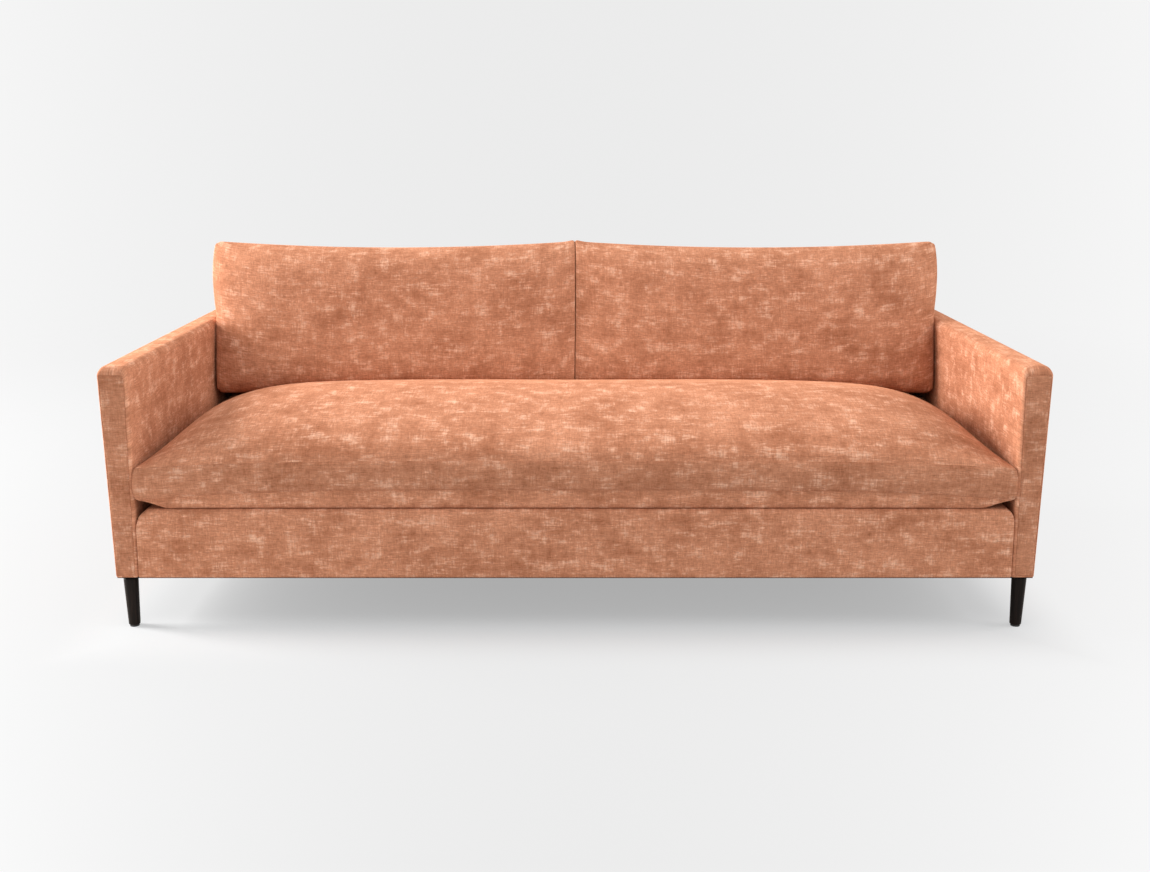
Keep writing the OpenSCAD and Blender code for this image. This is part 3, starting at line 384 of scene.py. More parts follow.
# The two arms: slim padded panels, thicker at the top, with one cloth over the top and both sides. It rolls
# round the front edge to a plain seam, inside which a separate strip faces the arm, and it is stapled under
# the base.
def rounded_loops(corners, radii, side_share, arc_steps=6):
    """Closed loops through rounded corners, one loop for each row of corner points. Each corner is an arc
    of its radius that touches both its sides. Its middle lies on the line that halves the corner, at the
    radius over the sine of half the angle, and each side runs straight between two arcs."""
    before = np.roll(corners, 1, axis=1) - corners
    after = np.roll(corners, -1, axis=1) - corners
    before /= np.linalg.norm(before, axis=-1, keepdims=True)
    after /= np.linalg.norm(after, axis=-1, keepdims=True)
    half = np.arccos(np.clip((before * after).sum(-1), -1.0, 1.0)) / 2.0
    inward = before + after
    inward /= np.linalg.norm(inward, axis=-1, keepdims=True)
    middle_point = corners + inward * (radii / np.sin(half))[..., None]
    first = corners + before * (radii / np.tan(half))[..., None] - middle_point
    last = corners + after * (radii / np.tan(half))[..., None] - middle_point
    begin = np.arctan2(first[..., 1], first[..., 0])
    sweep = np.arctan2(last[..., 1], last[..., 0]) - begin
    sweep = (sweep + np.pi) % (2.0 * np.pi) - np.pi
    angle = begin[..., None] + sweep[..., None] * np.linspace(0.0, 1.0, arc_steps + 1)
    heading = np.stack([np.cos(angle), np.sin(angle)], axis=-1)
    arcs = middle_point[:, :, None, :] + radii[:, :, None, None] * heading
    follow = np.roll(arcs[:, :, :1, :], -1, axis=1)
    share = side_share[None, None, 1:-1, None]
    sides = arcs[:, :, -1:, :] * (1.0 - share) + follow * share
    loops = np.concatenate([arcs, sides], axis=2).reshape(len(corners), -1, 2)
    return np.concatenate([loops, loops[:, :1]], axis=1)


def waves(a, b, seed):
    """A slow, uneven ripple between about -1 and 1: the sum of five sine waves across a and b, of different
    heading, length and start, over 3.2."""
    random = np.random.default_rng(seed)
    heading = random.uniform(0.0, np.pi, 5)
    pace = random.uniform(5.0, 17.0, 5)
    start = random.uniform(0.0, 6.3, 5)
    total = sum(np.sin(p * (a * np.cos(h) + b * np.sin(h)) + s) for h, p, s in zip(heading, pace, start))
    return total / 3.2


def eased_edge(radius, depth):
    """How far a quarter-round edge of that radius lies in at a depth behind the face: the radius less the
    root of its square less the square of what is left of it at that depth."""
    return radius - np.sqrt(np.maximum(0.0, radius**2 - np.maximum(0.0, radius - depth) ** 2))


base_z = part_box("right_arm_cover")[0][2]
arm_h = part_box("right_arm_cover")[1][2]
rear_y = cad_box[1][1]
arm_out_top, arm_out_foot = 1.092, 1.087
arm_in_top, arm_in_foot = 1.022, 1.033
arm_mid, arm_half = (arm_in_top + arm_out_top) / 2.0, (arm_out_top - arm_in_top) / 2.0
arm_side_r, arm_outer_r, arm_roll_r, arm_top_r, arm_low_r = 0.009, 0.004, 0.018, 0.016, 0.005
seam_depth, seam_half_w, arm_crown, arm_ripple, arm_puff = 0.0014, 0.0012, 0.0022, 0.0006, 0.0015
calm_end, calm_top, calm_fade, full_row = 0.12, 0.03, 0.05, 30


def arm_in(z):
    """Distance of an arm's inner face from the middle, straight from its foot to its top."""
    return arm_in_top + (arm_in_foot - arm_in_top) * (arm_h - z) / (arm_h - base_z)


def arm_out(z):
    """Distance of an arm's outer face from the middle, straight from its foot to its top."""
    return arm_out_top + (arm_out_foot - arm_out_top) * (arm_h - z) / (arm_h - base_z)


run = rear_y - front_y
turn = 1.0 - np.cos(np.linspace(0.0, np.pi / 2.0, 11))
beside_seam = arm_side_r * (1.0 - np.cos(seam_steps / arm_side_r))
edge_rows = np.unique(np.concatenate([arm_side_r * turn, arm_roll_r * turn, beside_seam]))
depth = np.concatenate([edge_rows, np.linspace(0.03, run - 0.03, 46), run - edge_rows[::-1]])
from_end = np.minimum(depth, run - depth)
from_seam = arm_side_r * np.arccos(np.clip(1.0 - depth / arm_side_r, -1.0, 1.0))
seam = seam_depth * np.exp(-((from_seam / seam_half_w) ** 2)) * (depth < arm_side_r)
side_in, outer_in = eased_edge(arm_side_r, from_end), eased_edge(arm_outer_r, from_end)
top_in = eased_edge(arm_roll_r, from_end)
low_in = eased_edge(arm_low_r, from_end)
z_low, z_top = base_z + low_in, arm_h - top_in
corners = np.stack([
    np.stack([arm_in(z_low) + side_in, z_low], axis=-1),
    np.stack([arm_out(z_low) - outer_in, z_low], axis=-1),
    np.stack([arm_out(z_top) - outer_in, z_top], axis=-1),
    np.stack([arm_in(z_top) + side_in, z_top], axis=-1)
], axis=1)
radii = np.stack([arm_low_r - low_in / 2.0] * 2 + [arm_top_r - top_in / 2.0] * 2, axis=1)
section = rounded_loops(corners, radii, np.linspace(0.0, 1.0, 30))
girth = np.concatenate([[0.0], np.cumsum(np.linalg.norm(np.diff(section[full_row], axis=0), axis=-1))])
settle = np.clip(from_end / calm_end, 0.0, 1.0)[:, None]
# The girth is measured on a row that is clear of both rounded ends. Both faces sink by a ripple that dies
# out towards the ends and the top, and the top is crowned by a parabola.
for name, side, seed in (("left_arm", -1.0, 11), ("right_arm", 1.0, 12)):
    ripple = arm_ripple * settle * waves(depth[:, None], section[..., 1], seed)
    outward = (section[..., 0] - arm_mid > 0.0) * 2.0 - 1.0
    below_top = np.clip((arm_h - calm_top - section[..., 1]) / calm_fade, 0.0, 1.0)
    x = side * (section[..., 0] - np.abs(ripple) * outward * below_top)
    across_top = (section[..., 0] - arm_mid) / arm_half
    high = np.clip((section[..., 1] - arm_h + arm_roll_r) / arm_roll_r, 0.0, 1.0)
    z = section[..., 1] + arm_crown * high * (1.0 - np.minimum(1.0, np.abs(across_top)) ** 2)
    place = np.stack([x, front_y + (depth + seam)[:, None] + 0.0 * x, z], axis=-1)
    uv = np.stack([depth[:, None] + 0.0 * x + arm_u * side, girth[None, :] + 0.0 * x], axis=-1)
    caps = []
    for row, u_start, lip, puff in ((0, arm_front_u, -seam_depth, -arm_puff), (-1, arm_rear_u, 0.0, 0.0)):
        end = place[row, :-1]
        caps.append((end, np.stack([end[:, 0] + u_start, end[:, 2] + strip_v], axis=-1), lip, puff))
    arm = build(name, [(place, uv)], cloth.material, "frame", caps)
    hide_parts(name + "_cover", name + "_padding")

# The border and the deck: a padded border wraps the front rail and turns back under the seat cushion,
# where the deck cloth is sewn to it. The border's top corners are rounded off beside the arms.
deck_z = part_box("deck_cover")[1][2]
deck_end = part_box("deck_cover")[1][1]
lip_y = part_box("border_cover")[1][1]
border_roll_r, border_low_r, base_corner_r = 0.012, 0.004, 0.002
corner_left_r, corner_right_r = 0.040, 0.022
arm_gap, lining_gap, border_deck_gap, border_puff = 0.0004, 0.0005, 0.0004, 0.0012


def base_sections(roll, low_round):
    """Loops of the base between the arms, one for each row of depth: oblongs with rounded corners, whose
    top lies the row's roll below the deck and whose foot lies its low_round above the foot of the base."""
    z_bottom, z_high = base_z + low_round, deck_z - roll
    x_bottom, x_high = arm_in(z_bottom) - arm_gap, arm_in(z_high) - arm_gap
    loops = np.stack([
        np.stack([-x_bottom, z_bottom], axis=-1), np.stack([x_bottom, z_bottom], axis=-1),
        np.stack([x_high, z_high], axis=-1), np.stack([-x_high, z_high], axis=-1)
    ], axis=1)
    bend = np.array([base_corner_r, base_corner_r, corner_right_r, corner_left_r])
    bends = bend * np.ones((len(roll), 1))
    return rounded_loops(loops, bends, np.linspace(0.0, 1.0, 90), 10)


border_rows = np.concatenate([border_roll_r * turn, np.linspace(0.016, lip_y - front_y, 8)])
outline = base_sections(eased_edge(border_roll_r, border_rows), eased_edge(border_low_r, border_rows))
border_y = front_y + border_rows[:, None] + 0.0 * outline[..., 0]
place = np.stack([outline[..., 0], border_y, outline[..., 1]], axis=-1)
rise = np.where(border_rows < border_roll_r, 0.0, border_rows - border_roll_r)[:, None]
uv = np.stack([outline[..., 0] + border_u, outline[..., 1] + rise], axis=-1)
caps = [
    (place[row, :-1], np.stack([place[row, :-1, 0] + border_u, place[row, :-1, 2]], axis=-1), 0.0, puff)
    for row, puff in ((0, -border_puff), (-1, 0.0))
]
border = build("border", [(place, uv)], cloth.material, "frame", caps)
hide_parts("border_cover", "border_padding")

deck_rows = np.linspace(lip_y - front_y + border_deck_gap, deck_end - front_y, 30)
outline = base_sections(np.zeros_like(deck_rows), np.full_like(deck_rows, lining_gap))
deck_y = front_y + deck_rows[:, None] + 0.0 * outline[..., 0]
place = np.stack([outline[..., 0], deck_y, outline[..., 1]], axis=-1)
uv = np.stack([outline[..., 0] + deck_u, deck_rows[:, None] + 0.0 * outline[..., 0]], axis=-1)
caps = [
    (place[row, :-1], np.stack([place[row, :-1, 0] + deck_u, place[row, :-1, 2]], axis=-1), 0.0, 0.0)
    for row in (0, -1)
]
deck = build("deck", [(place, uv)], cloth.material, "frame", caps)
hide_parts("deck_cover", "deck_padding")

# The back: a padded frame as high as the arms, upright outside and leaning inside for the cushions.
# One cloth runs over its top from the inside back, and the outside back is a flat panel sewn to it.
back_top_t, pitch = 0.080, math.radians(13.0)
back_edge_r, back_low_r, back_ripple = 0.012, 0.004, 0.0010


def back_face(z):
    """Depth of the inside back at height z: it leans back by the pitch angle."""
    return rear_y - back_top_t - (arm_h - z) * math.tan(pitch)


back_corners = np.array([[
    [back_face(deck_z), base_z + lining_gap], [rear_y, base_z + lining_gap], [rear_y, arm_h],
    [back_face(arm_h), arm_h], [back_face(deck_z), deck_z]
]])
back_radii = np.array([[back_low_r, back_low_r, back_edge_r, back_edge_r, back_low_r]])
profile = rounded_loops(back_corners, back_radii, np.linspace(0.0, 1.0, 26))[0]
girth = np.concatenate([[0.0], np.cumsum(np.linalg.norm(np.diff(profile, axis=0), axis=-1))])
spread = np.linspace(-1.0, 1.0, 121)[:, None]
x = spread * (arm_in(profile[:, 1])[None, :] - arm_gap)
# The outside panel sinks by a ripple that dies out towards both arms.
off_arms = np.clip((1.0 - np.abs(spread)) / 0.04, 0.0, 1.0)
outside = np.clip((profile[:, 0] - rear_y + 0.006) / 0.006, 0.0, 1.0)[None, :]
ripple = -back_ripple * off_arms * outside * np.abs(waves(x, profile[None, :, 1], 31))
place = np.stack([x, profile[None, :, 0] + ripple, profile[None, :, 1] + 0.0 * x], axis=-1)
uv = np.stack([x + back_u, girth[None, :] + 0.0 * x], axis=-1)
caps = [(place[row, :-1], place[row, :-1, 1:], 0.0, 0.0) for row in (0, -1)]
back = build("back", [(place, uv)], cloth.material, "frame", caps)
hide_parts("back_cover", "back_padding")

# The seat cushion: one boxed bench cushion of foam in fibre, high in front and falling to the rear.
# Its top and bottom panels are sewn to a boxing strip with plain seams, and its corners lift off the deck.
tan_pitch = math.tan(pitch)
seat_low, seat_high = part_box("seat_cushion")
seat_hx = (seat_high[0] - seat_low[0]) / 2.0
cushion_gap, rest_gap = 0.0015, 0.0003
seat_y0, seat_y1 = seat_low[1], back_face(deck_z) - cushion_gap
seat_hy, seat_my = (seat_y1 - seat_y0) / 2.0, (seat_y1 + seat_y0) / 2.0
seat_corner_r, seat_nips, seat_uneven, seat_pucker = 0.006, (0.0015, 0.0042), 0.0011, 0.00045
seat_seam_h, seat_low_h, seat_arch, seat_low_arch, seat_crown = 0.100, 0.022, 0.018, 0.024, 0.118
seat_crest_in, seat_front_swell, seat_side_swell = 0.325, 0.0075, 0.0035
seat_crest = seat_crest_in / seat_hy - 1.0
seat_fill_l, seat_arm_gap, seat_slope_w, seat_round_r = 0.16, 0.0012, 0.062, 0.017
fold_deep, fold_in, fold_half_w = 0.0022, 0.009, 0.0045
zip_half_w, zip_deep, zip_end_in, zip_wall = 0.0063, 0.0065, 0.110, 0.0006
stitch_reach, gather_rise, gather_reach, gather_corner = 0.0022, 0.0025, 0.011, 0.05


def graded(half, step, marks=()):
    """Positions from -half to half: close together beside both ends, for a seam, and about a step apart
    between. Beside each mark three more are added, for the wall of a zip's channel."""
    ends = np.array([0.0, 0.0008, 0.0018, 0.003, 0.0045, 0.0065, 0.009, 0.0125, 0.018, 0.025])
    inner = half - ends[-1]
    count = int(round(2.0 * inner / step))
    line = np.concatenate([-half + ends, np.linspace(-inner, inner, count + 1)[1:-1], half - ends[::-1]])
    extra = [mark + aside for mark in marks for aside in (-zip_wall, 0.0, zip_wall)]
    return np.unique(np.round(np.concatenate([line, extra]), 6)) if extra else line


def drawn_in(from_seam):
    """Share of a seam's full depth to which its stitches draw the cloth in, at a distance from the seam: e
    to the power of less the square of the distance over the stitches' reach."""
    return np.exp(-((from_seam / stitch_reach) ** 2))


def round_plan(x, y, hx, hy, r_left, r_right):
    """Pulls the square corners of a plan onto arcs, by scaling each corner's square onto a quarter disc: a
    point there keeps its direction from the arc's middle, and its larger side becomes its distance."""
    r = np.where(x < 0.0, r_left, r_right)
    px, py = np.maximum(np.abs(x) - (hx - r), 0.0), np.maximum(np.abs(y) - (hy - r), 0.0)
    size = np.hypot(px, py)
    shrink = np.where(size > 0.0, np.maximum(px, py) / np.maximum(size, 1e-9), 1.0)
    new_x = np.where((px > 0.0) & (py > 0.0), np.sign(x) * (hx - r + px * shrink), x)
    new_y = np.where((px > 0.0) & (py > 0.0), np.sign(y) * (hy - r + py * shrink), y)
    return new_x, new_y


def rim(grid):
    """The outer points of a grid as one closed loop, from its first corner along its first row."""
    return np.concatenate([grid[0, :-1], grid[:-1, -1], grid[-1, :0:-1], grid[::-1, 0]])


def paid_out(plan_y, z):
    """Length of cloth from the front seam to each point of a panel, so that the weave isn't stretched: the
    sum of the slanting steps up to there."""
    step = np.hypot(np.diff(plan_y, axis=0), np.diff(z, axis=0))
    return np.concatenate([np.zeros((1, z.shape[1])), np.cumsum(step, axis=0)])


def boxed_cushion(x_line, y_line, corner_radii, nips, top, low, bulge, uv_shift, box_rows=21):
    """Top panel, boxing and bottom panel of a cushion in its own frame, as grids with UVs. top and low give
    a panel's height from the plan, and nips are how far the top and the low seam are drawn in. The boxing
    runs straight from rim to rim and is pushed out by the bulge, which depends on its outward direction and
    its share of the way down, and, off the seams, by what their nips draw in."""
    hx, hy = x_line[-1], y_line[-1]
    grid_x, grid_y = np.meshgrid(x_line, y_line)
    near_seam = drawn_in(np.minimum(hx - np.abs(grid_x), hy - np.abs(grid_y)))
    pulled = [nip * near_seam for nip in nips]
    nipped = [(grid_x * (1.0 - pull / hx), grid_y * (1.0 - pull / hy)) for pull in pulled]
    (top_x, top_y), (low_x, low_y) = [round_plan(*plan, hx, hy, *corner_radii) for plan in nipped]
    top_z, low_z = top(grid_x, grid_y), low(grid_x, grid_y)
    rim_x, rim_y, rim_top = rim(top_x), rim(top_y), rim(top_z)
    rim_low_x, rim_low_y, rim_low = rim(low_x), rim(low_y), rim(low_z)
    flow_x, flow_y = np.gradient(rim_x), np.gradient(rim_y)
    flow_x[[0, -1]] = rim_x[1] - rim_x[-2]
    flow_y[[0, -1]] = rim_y[1] - rim_y[-2]
    size = np.maximum(np.hypot(flow_x, flow_y), 1e-9)
    out_x, out_y = flow_y / size, -flow_x / size
    share = 0.5 - 0.5 * np.cos(np.pi * np.linspace(0.0, 1.0, box_rows))[:, None]
    height = np.abs(rim_top - rim_low)[None, :]
    swell = bulge(out_x, out_y, share)
    swell = swell + nips[0] * (1.0 - drawn_in(share * height)) * (1.0 - share)
    swell = swell + nips[1] * (1.0 - drawn_in((1.0 - share) * height)) * share
    box_x = rim_x * (1.0 - share) + rim_low_x * share + out_x * swell
    box_y = rim_y * (1.0 - share) + rim_low_y * share + out_y * swell
    box_z = rim_top * (1.0 - share) + rim_low * share
    length = np.concatenate([[0.0], np.cumsum(np.hypot(np.diff(rim_x), np.diff(rim_y)))])
    top_uv = np.stack([top_x, paid_out(top_y, top_z) - hy], axis=-1)
    box_uv = np.stack([length - hx + 0.0 * box_z, strip_v - hy + box_z - rim_top], axis=-1)
    low_uv = np.stack([low_x, paid_out(low_y, low_z) + bottom_v], axis=-1)
    return [
        (np.stack([top_x, top_y, top_z], axis=-1), top_uv + uv_shift),
        (np.stack([box_x, box_y, box_z], axis=-1), box_uv + uv_shift),
        (np.stack([low_x, low_y, low_z], axis=-1), low_uv + uv_shift)
    ]


def flank(u):
    """1 along the middle, falling to 0 at the ends with the fourth power."""
    return 1.0 - np.minimum(1.0, np.abs(u)) ** 4


def puckers(x, y, hx, hy, deep, seed):
    """Small gathers that run in from a seam all round: a mix of six short waves along it, deeper at the
    corners. They rise as 1 less e to the power of less the distance from the seam over the gathers' rise,
    and fall as e to the power of less that distance over their reach."""
    gap_x, gap_y = np.maximum(hx - np.abs(x), 0.0), np.maximum(hy - np.abs(y), 0.0)
    edge = np.minimum(gap_x, gap_y)
    along = np.where(gap_x < gap_y, y + 3.0 * np.sign(x), x + 7.0 * np.sign(y))
    random = np.random.default_rng(seed)
    pace = random.uniform(150.0, 520.0, 6)
    start = random.uniform(0.0, 6.3, 6)
    total = sum(np.sin(p * along + s) for p, s in zip(pace, start)) / 3.0
    corner = np.exp(-((np.maximum(gap_x, gap_y) / gather_corner) ** 2))
    rise, fall = 1.0 - np.exp(-edge / gather_rise), np.exp(-edge / gather_reach)
    return deep * (1.0 + 1.5 * corner) * total * fall * rise


def seat_top(x, y):
    """Height of the seat's top panel: the arched seam, and a crown with its crest a third of the way in.
    From the crest to the front it falls as 1 less the squared share of the way, to the power 0.55, and to
    the rear as 1 less the share to the power 1.3. Both sides fall as 1 less the tenth power of the share
    sideways, to the power 1.2."""
    u, v = np.clip(x / seat_hx, -1.0, 1.0), np.clip(y / seat_hy, -1.0, 1.0)
    front = (1.0 - np.clip((seat_crest - v) / (1.0 + seat_crest), 0.0, 1.0) ** 2) ** 0.55
    rear = 1.0 - np.clip((v - seat_crest) / (1.0 - seat_crest), 0.0, 1.0) ** 1.3
    rise = (1.0 - np.abs(u) ** 10) ** 1.2 * np.where(v < seat_crest, front, rear)
    return deck_z + seat_seam_h + seat_arch * flank(u) + seat_crown * rise


def seat_panel(x, y):
    """The seat's top panel as sewn: its height, slow waves inside 100 mm from the seam, and gathers beside
    it."""
    inside = np.clip(np.minimum(seat_hx - np.abs(x), seat_hy - np.abs(y)) / 0.10, 0.0, 1.0)
    uneven = seat_uneven * inside * waves(x, y, 41)
    return seat_top(x, y) + uneven + puckers(x, y, seat_hx, seat_hy, seat_pucker, 42)


def seat_bottom(x, y):
    """Height of the seat's bottom panel: flat on the deck, rounded up to the low seam by a quarter of an
    ellipse in front and at the rear, and sloping up to it in a straight line at both sides. A bell-shaped
    fold hangs over the border's edge, close behind the front seam."""
    lift = seat_low_h + seat_low_arch * flank(x / seat_hx)
    side = 1.0 - np.clip((seat_hx - np.abs(x)) / seat_slope_w, 0.0, 1.0)
    near = 1.0 - np.clip((seat_hy - np.abs(y)) / seat_round_r, 0.0, 1.0)
    end = 1.0 - np.sqrt(1.0 - near**2)
    over_roll = fold_deep * np.exp(-(((seat_hy + y - fold_in) / fold_half_w) ** 2)) * (1.0 - side)
    return deck_z + rest_gap + lift * (1.0 - (1.0 - side) * (1.0 - end)) - over_roll


def seat_bulge(out_x, out_y, share):
    """The seat's boxing stands out by half a wave, to the power 0.7, between its seams, in front and at the
    sides. Its rear is drawn in to the zip's depth, over the first and last tenth of the way."""
    round_out = np.sin(np.pi * share) ** 0.7
    flat_in = np.clip(np.minimum(share, 1.0 - share) / 0.10, 0.0, 1.0)
    forward, rearward = np.maximum(0.0, -out_y), np.maximum(0.0, out_y)
    swell = seat_side_swell * np.abs(out_x) + seat_front_swell * forward
    return round_out * swell - zip_deep * flat_in * rearward


def seat_place(grid):
    """Moves the seat's plan to its place in the sofa: its front corners fill out to the arms, most at the
    front and dying out over a short way behind it, and it is sheared towards the rear so that its rear leans
    like the inside back."""
    x, y, z = grid[..., 0], grid[..., 1], grid[..., 2]
    ahead = np.clip(1.0 - (y + seat_hy) / seat_fill_l, 0.0, 1.0)
    fill = (arm_in(z) - seat_arm_gap - seat_hx) * ahead**1.5
    x = x + np.sign(x) * fill * np.clip((np.abs(x) / seat_hx - 0.85) / 0.15, 0.0, 1.0) ** 2
    return np.stack([x, seat_my + y + (y / seat_hy / 2.0 + 0.5) * (z - deck_z) * tan_pitch, z], axis=-1)


panels = boxed_cushion(
    graded(seat_hx, 0.010), graded(seat_hy, 0.010), (seat_corner_r, seat_corner_r), seat_nips,
    seat_panel, seat_bottom, seat_bulge, (seat_u, 0.0), 27
)
seat = build("bench_cushion", [(seat_place(p), uv) for p, uv in panels], cloth.material, "seat_cushion")
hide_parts("seat_cushion")

# The two back cushions: loose boxed cushions of foam in fibre, leaning on the inside back.
# Their top edges dip between the corners, and their outer sides swell out above the arms.
back_hx, back_hy, back_thick, back_up = 0.50925, 0.216, 0.176, 0.134
back_mx, back_crown, middle_gap = 0.51125, 0.070, 0.0007
back_corner_radii, back_nips = (0.008, 0.016), (0.0012, 0.0012)
back_uneven, back_pucker, fan_depth, fan_reach = 0.0014, 0.0007, 0.0016, 0.075
ear_lift, ear_half_w, ear_swell, swell_from, swell_wave = 0.0035, 0.020, 0.010, 0.004, 0.85
back_dip, back_swell, fan_folds, fall_inward, fall_outward = 0.018, 0.003, 15.0, 0.58, 0.92
meet_waver, meet_pace, meet_start, seat_rest, rest_step = 0.0014, 31.0, 0.6, 0.0012, 0.002
cushion_z = deck_z + back_up
cushion_y = back_face(cushion_z) - (back_thick + rest_gap) / math.cos(pitch)
slope_y, slope_z = math.sin(pitch), math.cos(pitch)
zip_up = 0.062
zip_y, zip_half = zip_up - back_hy, back_hx - zip_end_in


def back_front(x, y):
    """Height of the front panel above the boxing's front seam at the top and foot. The crown is the root of
    two falls: 1 less the fourth power of the share sideways times the fall on that side, times 1 less the
    eighth power of the share down, or the fifth power of that up. Slow waves, gathers beside the seam and a
    fan of gathers from each corner are added."""
    u, v = np.clip(x / back_hx, -1.0, 1.0), np.clip(y / back_hy, -1.0, 1.0)
    inside = np.clip(np.minimum(back_hx - np.abs(x), back_hy - np.abs(y)) / 0.08, 0.0, 1.0)
    sideways = 1.0 - np.abs(u) ** 4 * np.where(u < 0.0, fall_inward, fall_outward)
    crown = back_crown * np.sqrt(sideways * (1.0 - np.abs(v) ** np.where(v < 0.0, 8.0, 5.0)))
    corner_x, corner_y = back_hx - np.abs(x), back_hy - np.abs(y)
    away = np.hypot(corner_x, corner_y)
    fan = np.sin(fan_folds * np.arctan2(corner_y, corner_x + 1e-9) + 2.0 * np.sign(x) + np.sign(y))
    fan = fan * np.clip(away / 0.020, 0.0, 1.0) * np.clip(corner_x / 0.025, 0.0, 1.0)
    fan = fan_depth * fan * np.exp(-((away / fan_reach) ** 2))
    uneven = back_uneven * inside * waves(x, y, 51)
    return crown + fan + uneven + puckers(x, y, back_hx, back_hy, back_pucker, 52)


def back_rear(x, y):
    """Height of the rear panel: flat, at the thickness of the boxing, with a channel for the zip."""
    beside = np.clip((zip_half_w + zip_wall - np.abs(y - zip_y)) / zip_wall, 0.0, 1.0)
    within = np.clip((zip_half + 1.5 * zip_wall - np.abs(x)) / zip_wall, 0.0, 1.0)
    return -back_thick + zip_deep * beside * within


def back_bulge(out_x, out_y, share):
    """A back cushion's boxing stands out by half a wave, to the power 0.7, between its seams, along its
    top."""
    return back_swell * np.sin(np.pi * share) ** 0.7 * np.maximum(0.0, out_y)


def cushion_place(grid, side):
    """Moves a back cushion to its place: its top dips by a parabola and turns up at the middle, the top
    half of its outer side swells by most of half a wave, and it leans by the pitch. Its inner side meets the
    other cushion along a wave in depth, and its foot is lifted to the seat's top panel wherever it would
    sink in."""
    x, y, z = grid[..., 0], grid[..., 1], grid[..., 2]
    u, v = x / back_hx, y / back_hy
    above = np.clip((y - swell_from) / (back_hy - swell_from), 0.0, 1.0)
    swell = ear_swell * np.sin(swell_wave * np.pi * above) * np.maximum(0.0, u) ** 6
    dip = back_dip * (1.0 - u**2) * np.maximum(0.0, (v + 1.0) / 2.0) ** 4
    ear = ear_lift * np.exp(-(((x + back_hx) / ear_half_w) ** 2)) * np.maximum(0.0, v) ** 8
    y = y - dip + ear
    place_y = cushion_y + (y + back_hy) * slope_y - z * slope_z
    place_z = cushion_z + (y + back_hy) * slope_z + z * slope_y
    inward = back_mx - back_hx - middle_gap / 2.0
    meet = side * meet_waver * np.sin(meet_pace * place_y + meet_start) - inward
    place_x = back_mx + x + swell + meet * np.maximum(0.0, -u) ** 6
    lean = (place_z - deck_z) * tan_pitch
    plan_y = np.clip((place_y - seat_my - lean / 2.0) / (1.0 + lean / 2.0 / seat_hy), -seat_hy, seat_hy)
    rest = np.maximum(seat_top(place_x, plan_y), seat_top(place_x, plan_y + rest_step)) + seat_rest
    return np.stack([side * place_x, place_y, np.maximum(place_z, rest)], axis=-1)


channel_ends = (-zip_half - zip_wall, zip_half + zip_wall)
channel_sides = (zip_y - zip_half_w - zip_wall / 2.0, zip_y + zip_half_w + zip_wall / 2.0)
for hand, side in (("left", -1.0), ("right", 1.0)):
    panels = boxed_cushion(
        graded(back_hx, 0.008, channel_ends), graded(back_hy, 0.008, channel_sides), back_corner_radii,
        back_nips, back_front, back_rear, back_bulge, (pillow_u + pillow_step_u * side, pillow_v)
    )
    placed = [(cushion_place(grid, side), uv) for grid, uv in panels]
    cushion = build(hand + "_back_pillow", placed, cloth.material, hand + "_back_cushion")
    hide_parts(hand + "_back_cushion")

# Under the base: a black dust cover of felted cloth, stapled to the frame and hanging a little between the
# rails. It is cut to the base less 2 mm all round, and it hides the springs.
felt_t, felt_gap, felt_hang, felt_uneven = 0.0007, 0.0002, 0.004, 0.0006
cover_low, cover_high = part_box("dust_cover")
cover_w, cover_l = cover_high[0] - cover_low[0], cover_high[1] - cover_low[1]
across_x, across_y = np.meshgrid(np.linspace(0.0, 1.0, 91), np.linspace(0.0, 1.0, 45))
# It hangs in three half waves between the side and cross rails, by one half wave from front to rear.
between = np.sin(np.pi * across_y)
hang = felt_hang * np.abs(np.sin(3.0 * np.pi * across_x)) * between
hang += felt_uneven * np.sin(np.pi * across_x) * between * waves(9.0 * across_x, 5.0 * across_y, 61)
felt_x, felt_y = cover_low[0] + cover_w * across_x, cover_low[1] + cover_l * across_y
felt_uv = np.stack([felt_x, felt_y], axis=-1)
felt_down = np.array([0.0, 0.0, felt_t])
felt_top = np.stack([felt_x, felt_y, cover_high[2] - felt_gap - hang], axis=-1)
felt_low = felt_top - felt_down
felt_edge = np.stack([rim(felt_top[..., k]) for k in range(3)], axis=-1)
edge_uv = np.stack([rim(felt_uv[..., k]) for k in range(2)], axis=-1)
felt = Shader("dust_felt")
felt_place = felt.node("ShaderNodeTexCoord").outputs["Object"]
felt_fibre = felt.noise(felt_place, (900.0, 900.0, 900.0), 4.0, 0.7)
felt_body = felt.node(
    "ShaderNodeBsdfPrincipled", Roughness=0.95, Specular_IOR_Level=0.1,
    Base_Color=felt.mix(felt_fibre, (0.006, 0.006, 0.007, 1.0), (0.030, 0.030, 0.032, 1.0)),
    Normal=felt.node("ShaderNodeBump", Strength=0.4, Distance=0.0004, Height=felt_fibre).outputs[0]
)
felt.node("ShaderNodeOutputMaterial", Surface=felt_body.outputs[0])
dust_felt = build("dust_felt", [
    (felt_top, felt_uv), (felt_low, felt_uv),
    (np.stack([felt_edge, felt_edge - felt_down]), np.stack([edge_uv, edge_uv]))
], felt.material, "frame")
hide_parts("dust_cover")


# The frame inside: kiln-dried hardwood rails, posts and blocks, and hardboard in the arms.
# Rails that run across show their grain across, and those that run front to back show it that way.
def dressed(names, material):
    """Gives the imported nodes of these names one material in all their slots."""
    for name in names:
        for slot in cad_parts[name].material_slots:
            slot.material = material


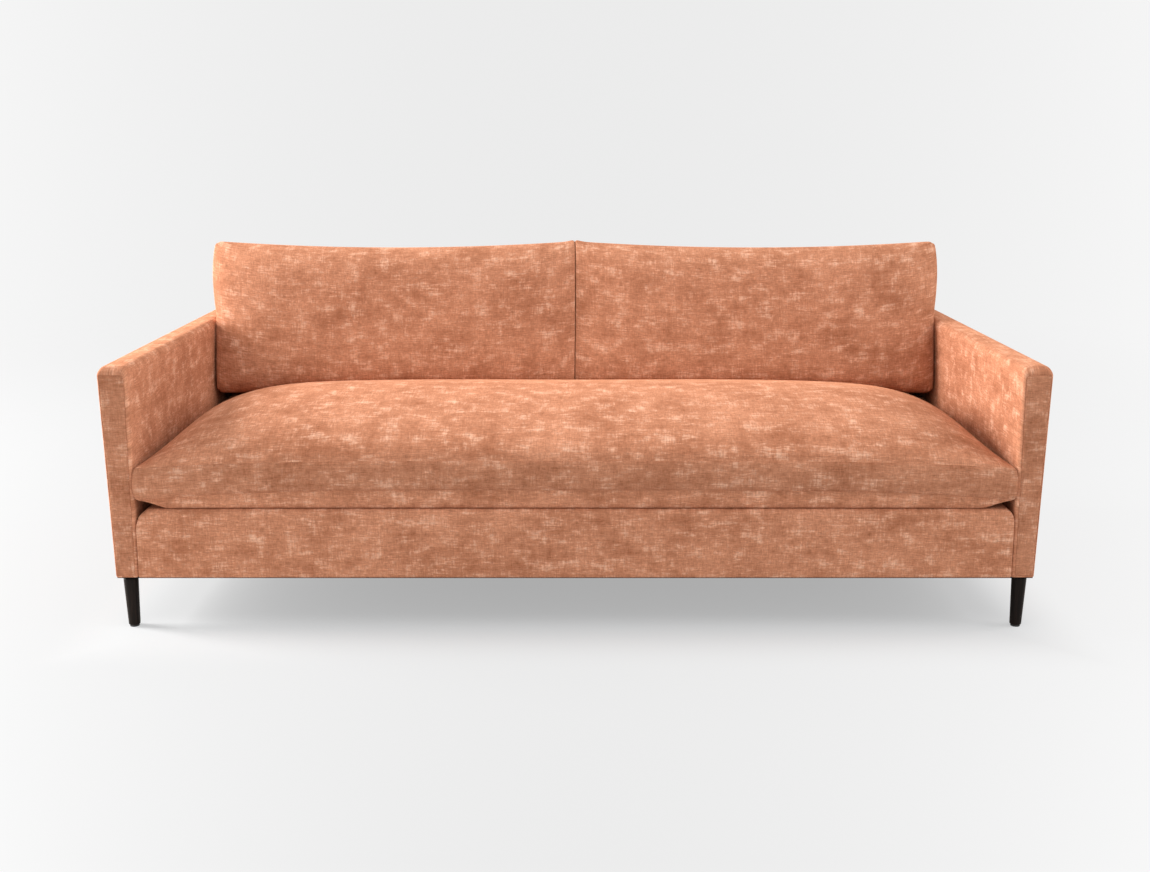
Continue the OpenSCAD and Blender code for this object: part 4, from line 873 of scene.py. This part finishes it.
def plain(name, low, high, scale, rough, metal=0.0, bump=0.0003):
    """A material of two close tones mixed by noise in the object's own coordinates, with a fine bump."""
    made = Shader(name)
    where = made.node("ShaderNodeTexCoord").outputs["Object"]
    mottle = made.noise(where, scale, 4.0, 0.6)
    body = made.node(
        "ShaderNodeBsdfPrincipled", Base_Color=made.mix(made.ramp(mottle, 0.3, 0.7), low, high),
        Roughness=made.math("MULTIPLY_ADD", mottle, 0.15, rough), Metallic=metal,
        Normal=made.node("ShaderNodeBump", Strength=0.3, Distance=bump, Height=mottle).outputs[0]
    )
    made.node("ShaderNodeOutputMaterial", Surface=body.outputs[0])
    return made.material


timber_low, timber_high = (0.36, 0.22, 0.105, 1.0), (0.56, 0.38, 0.21, 1.0)
dressed(
    ("front_rail", "rear_seat_rail", "back_top_rail", "back_tack_rail", "back_bottom_rail", "corner_blocks"),
    plain("timber_across", timber_low, timber_high, (7.0, 160.0, 160.0), 0.55)
)
timber_along = plain("timber_along", timber_low, timber_high, (160.0, 7.0, 160.0), 0.55)
timber_upright = plain("timber_upright", timber_low, timber_high, (160.0, 160.0, 7.0), 0.55)
dressed(("side_rails", "cross_rails"), timber_along)
dressed(("back_posts",), timber_upright)
for arm_name in ("left_arm", "right_arm"):
    dressed([arm_name + part for part in ("_top_rail", "_bottom_rail", "_tack_rail")], timber_along)
    dressed([arm_name + part for part in ("_front_post", "_rear_post")], timber_upright)
dressed(
    ("left_arm_panels", "right_arm_panels"),
    plain("hardboard", (0.13, 0.070, 0.032, 1.0), (0.20, 0.115, 0.058, 1.0), (500.0,) * 3, 0.7)
)

# The filling inside: pale foam cores, webbing straps in the back and a hessian over the springs.
# The springs, clips, bolts, screws and inserts are bright zinc-plated steel.
dressed(
    ("seat_cushion_core", "left_back_cushion_core", "right_back_cushion_core"),
    plain("foam", (0.72, 0.66, 0.48, 1.0), (0.86, 0.81, 0.64, 1.0), (1400.0,) * 3, 0.9, 0.0, 0.0006)
)
dressed(
    ("hessian",),
    plain("hessian", (0.22, 0.155, 0.075, 1.0), (0.45, 0.34, 0.19, 1.0), (500.0,) * 3, 0.9)
)
dressed(
    ("back_webbing",),
    plain("webbing", (0.34, 0.27, 0.16, 1.0), (0.55, 0.46, 0.30, 1.0), (90.0, 700.0, 700.0), 0.9)
)
dressed(
    ("seat_springs", "spring_clips", "leg_bolts", "leg_inserts", "unit_bolts", "unit_inserts",
     "block_screws", "seat_zip_slider", "left_back_zip_slider", "right_back_zip_slider"),
    plain("zinc_steel", (0.46, 0.47, 0.49, 1.0), (0.60, 0.61, 0.63, 1.0), (300.0,) * 3, 0.28, 1.0, 0.0001)
)

# The zips behind the cushions: coil zips of polyester in a brown near the cloth's, with steel sliders.
# The glides under the legs: black nylon discs on nails.
dressed(
    ("seat_zip", "left_back_zip", "right_back_zip"),
    plain(
        "zip_polyester", (0.070, 0.026, 0.014, 1.0), (0.125, 0.052, 0.030, 1.0), (900.0, 300.0, 300.0), 0.6
    )
)
dressed(
    ("leg_glides",),
    plain("glide_nylon", (0.012, 0.012, 0.012, 1.0), (0.026, 0.026, 0.026, 1.0), (400.0,) * 3, 0.4)
)
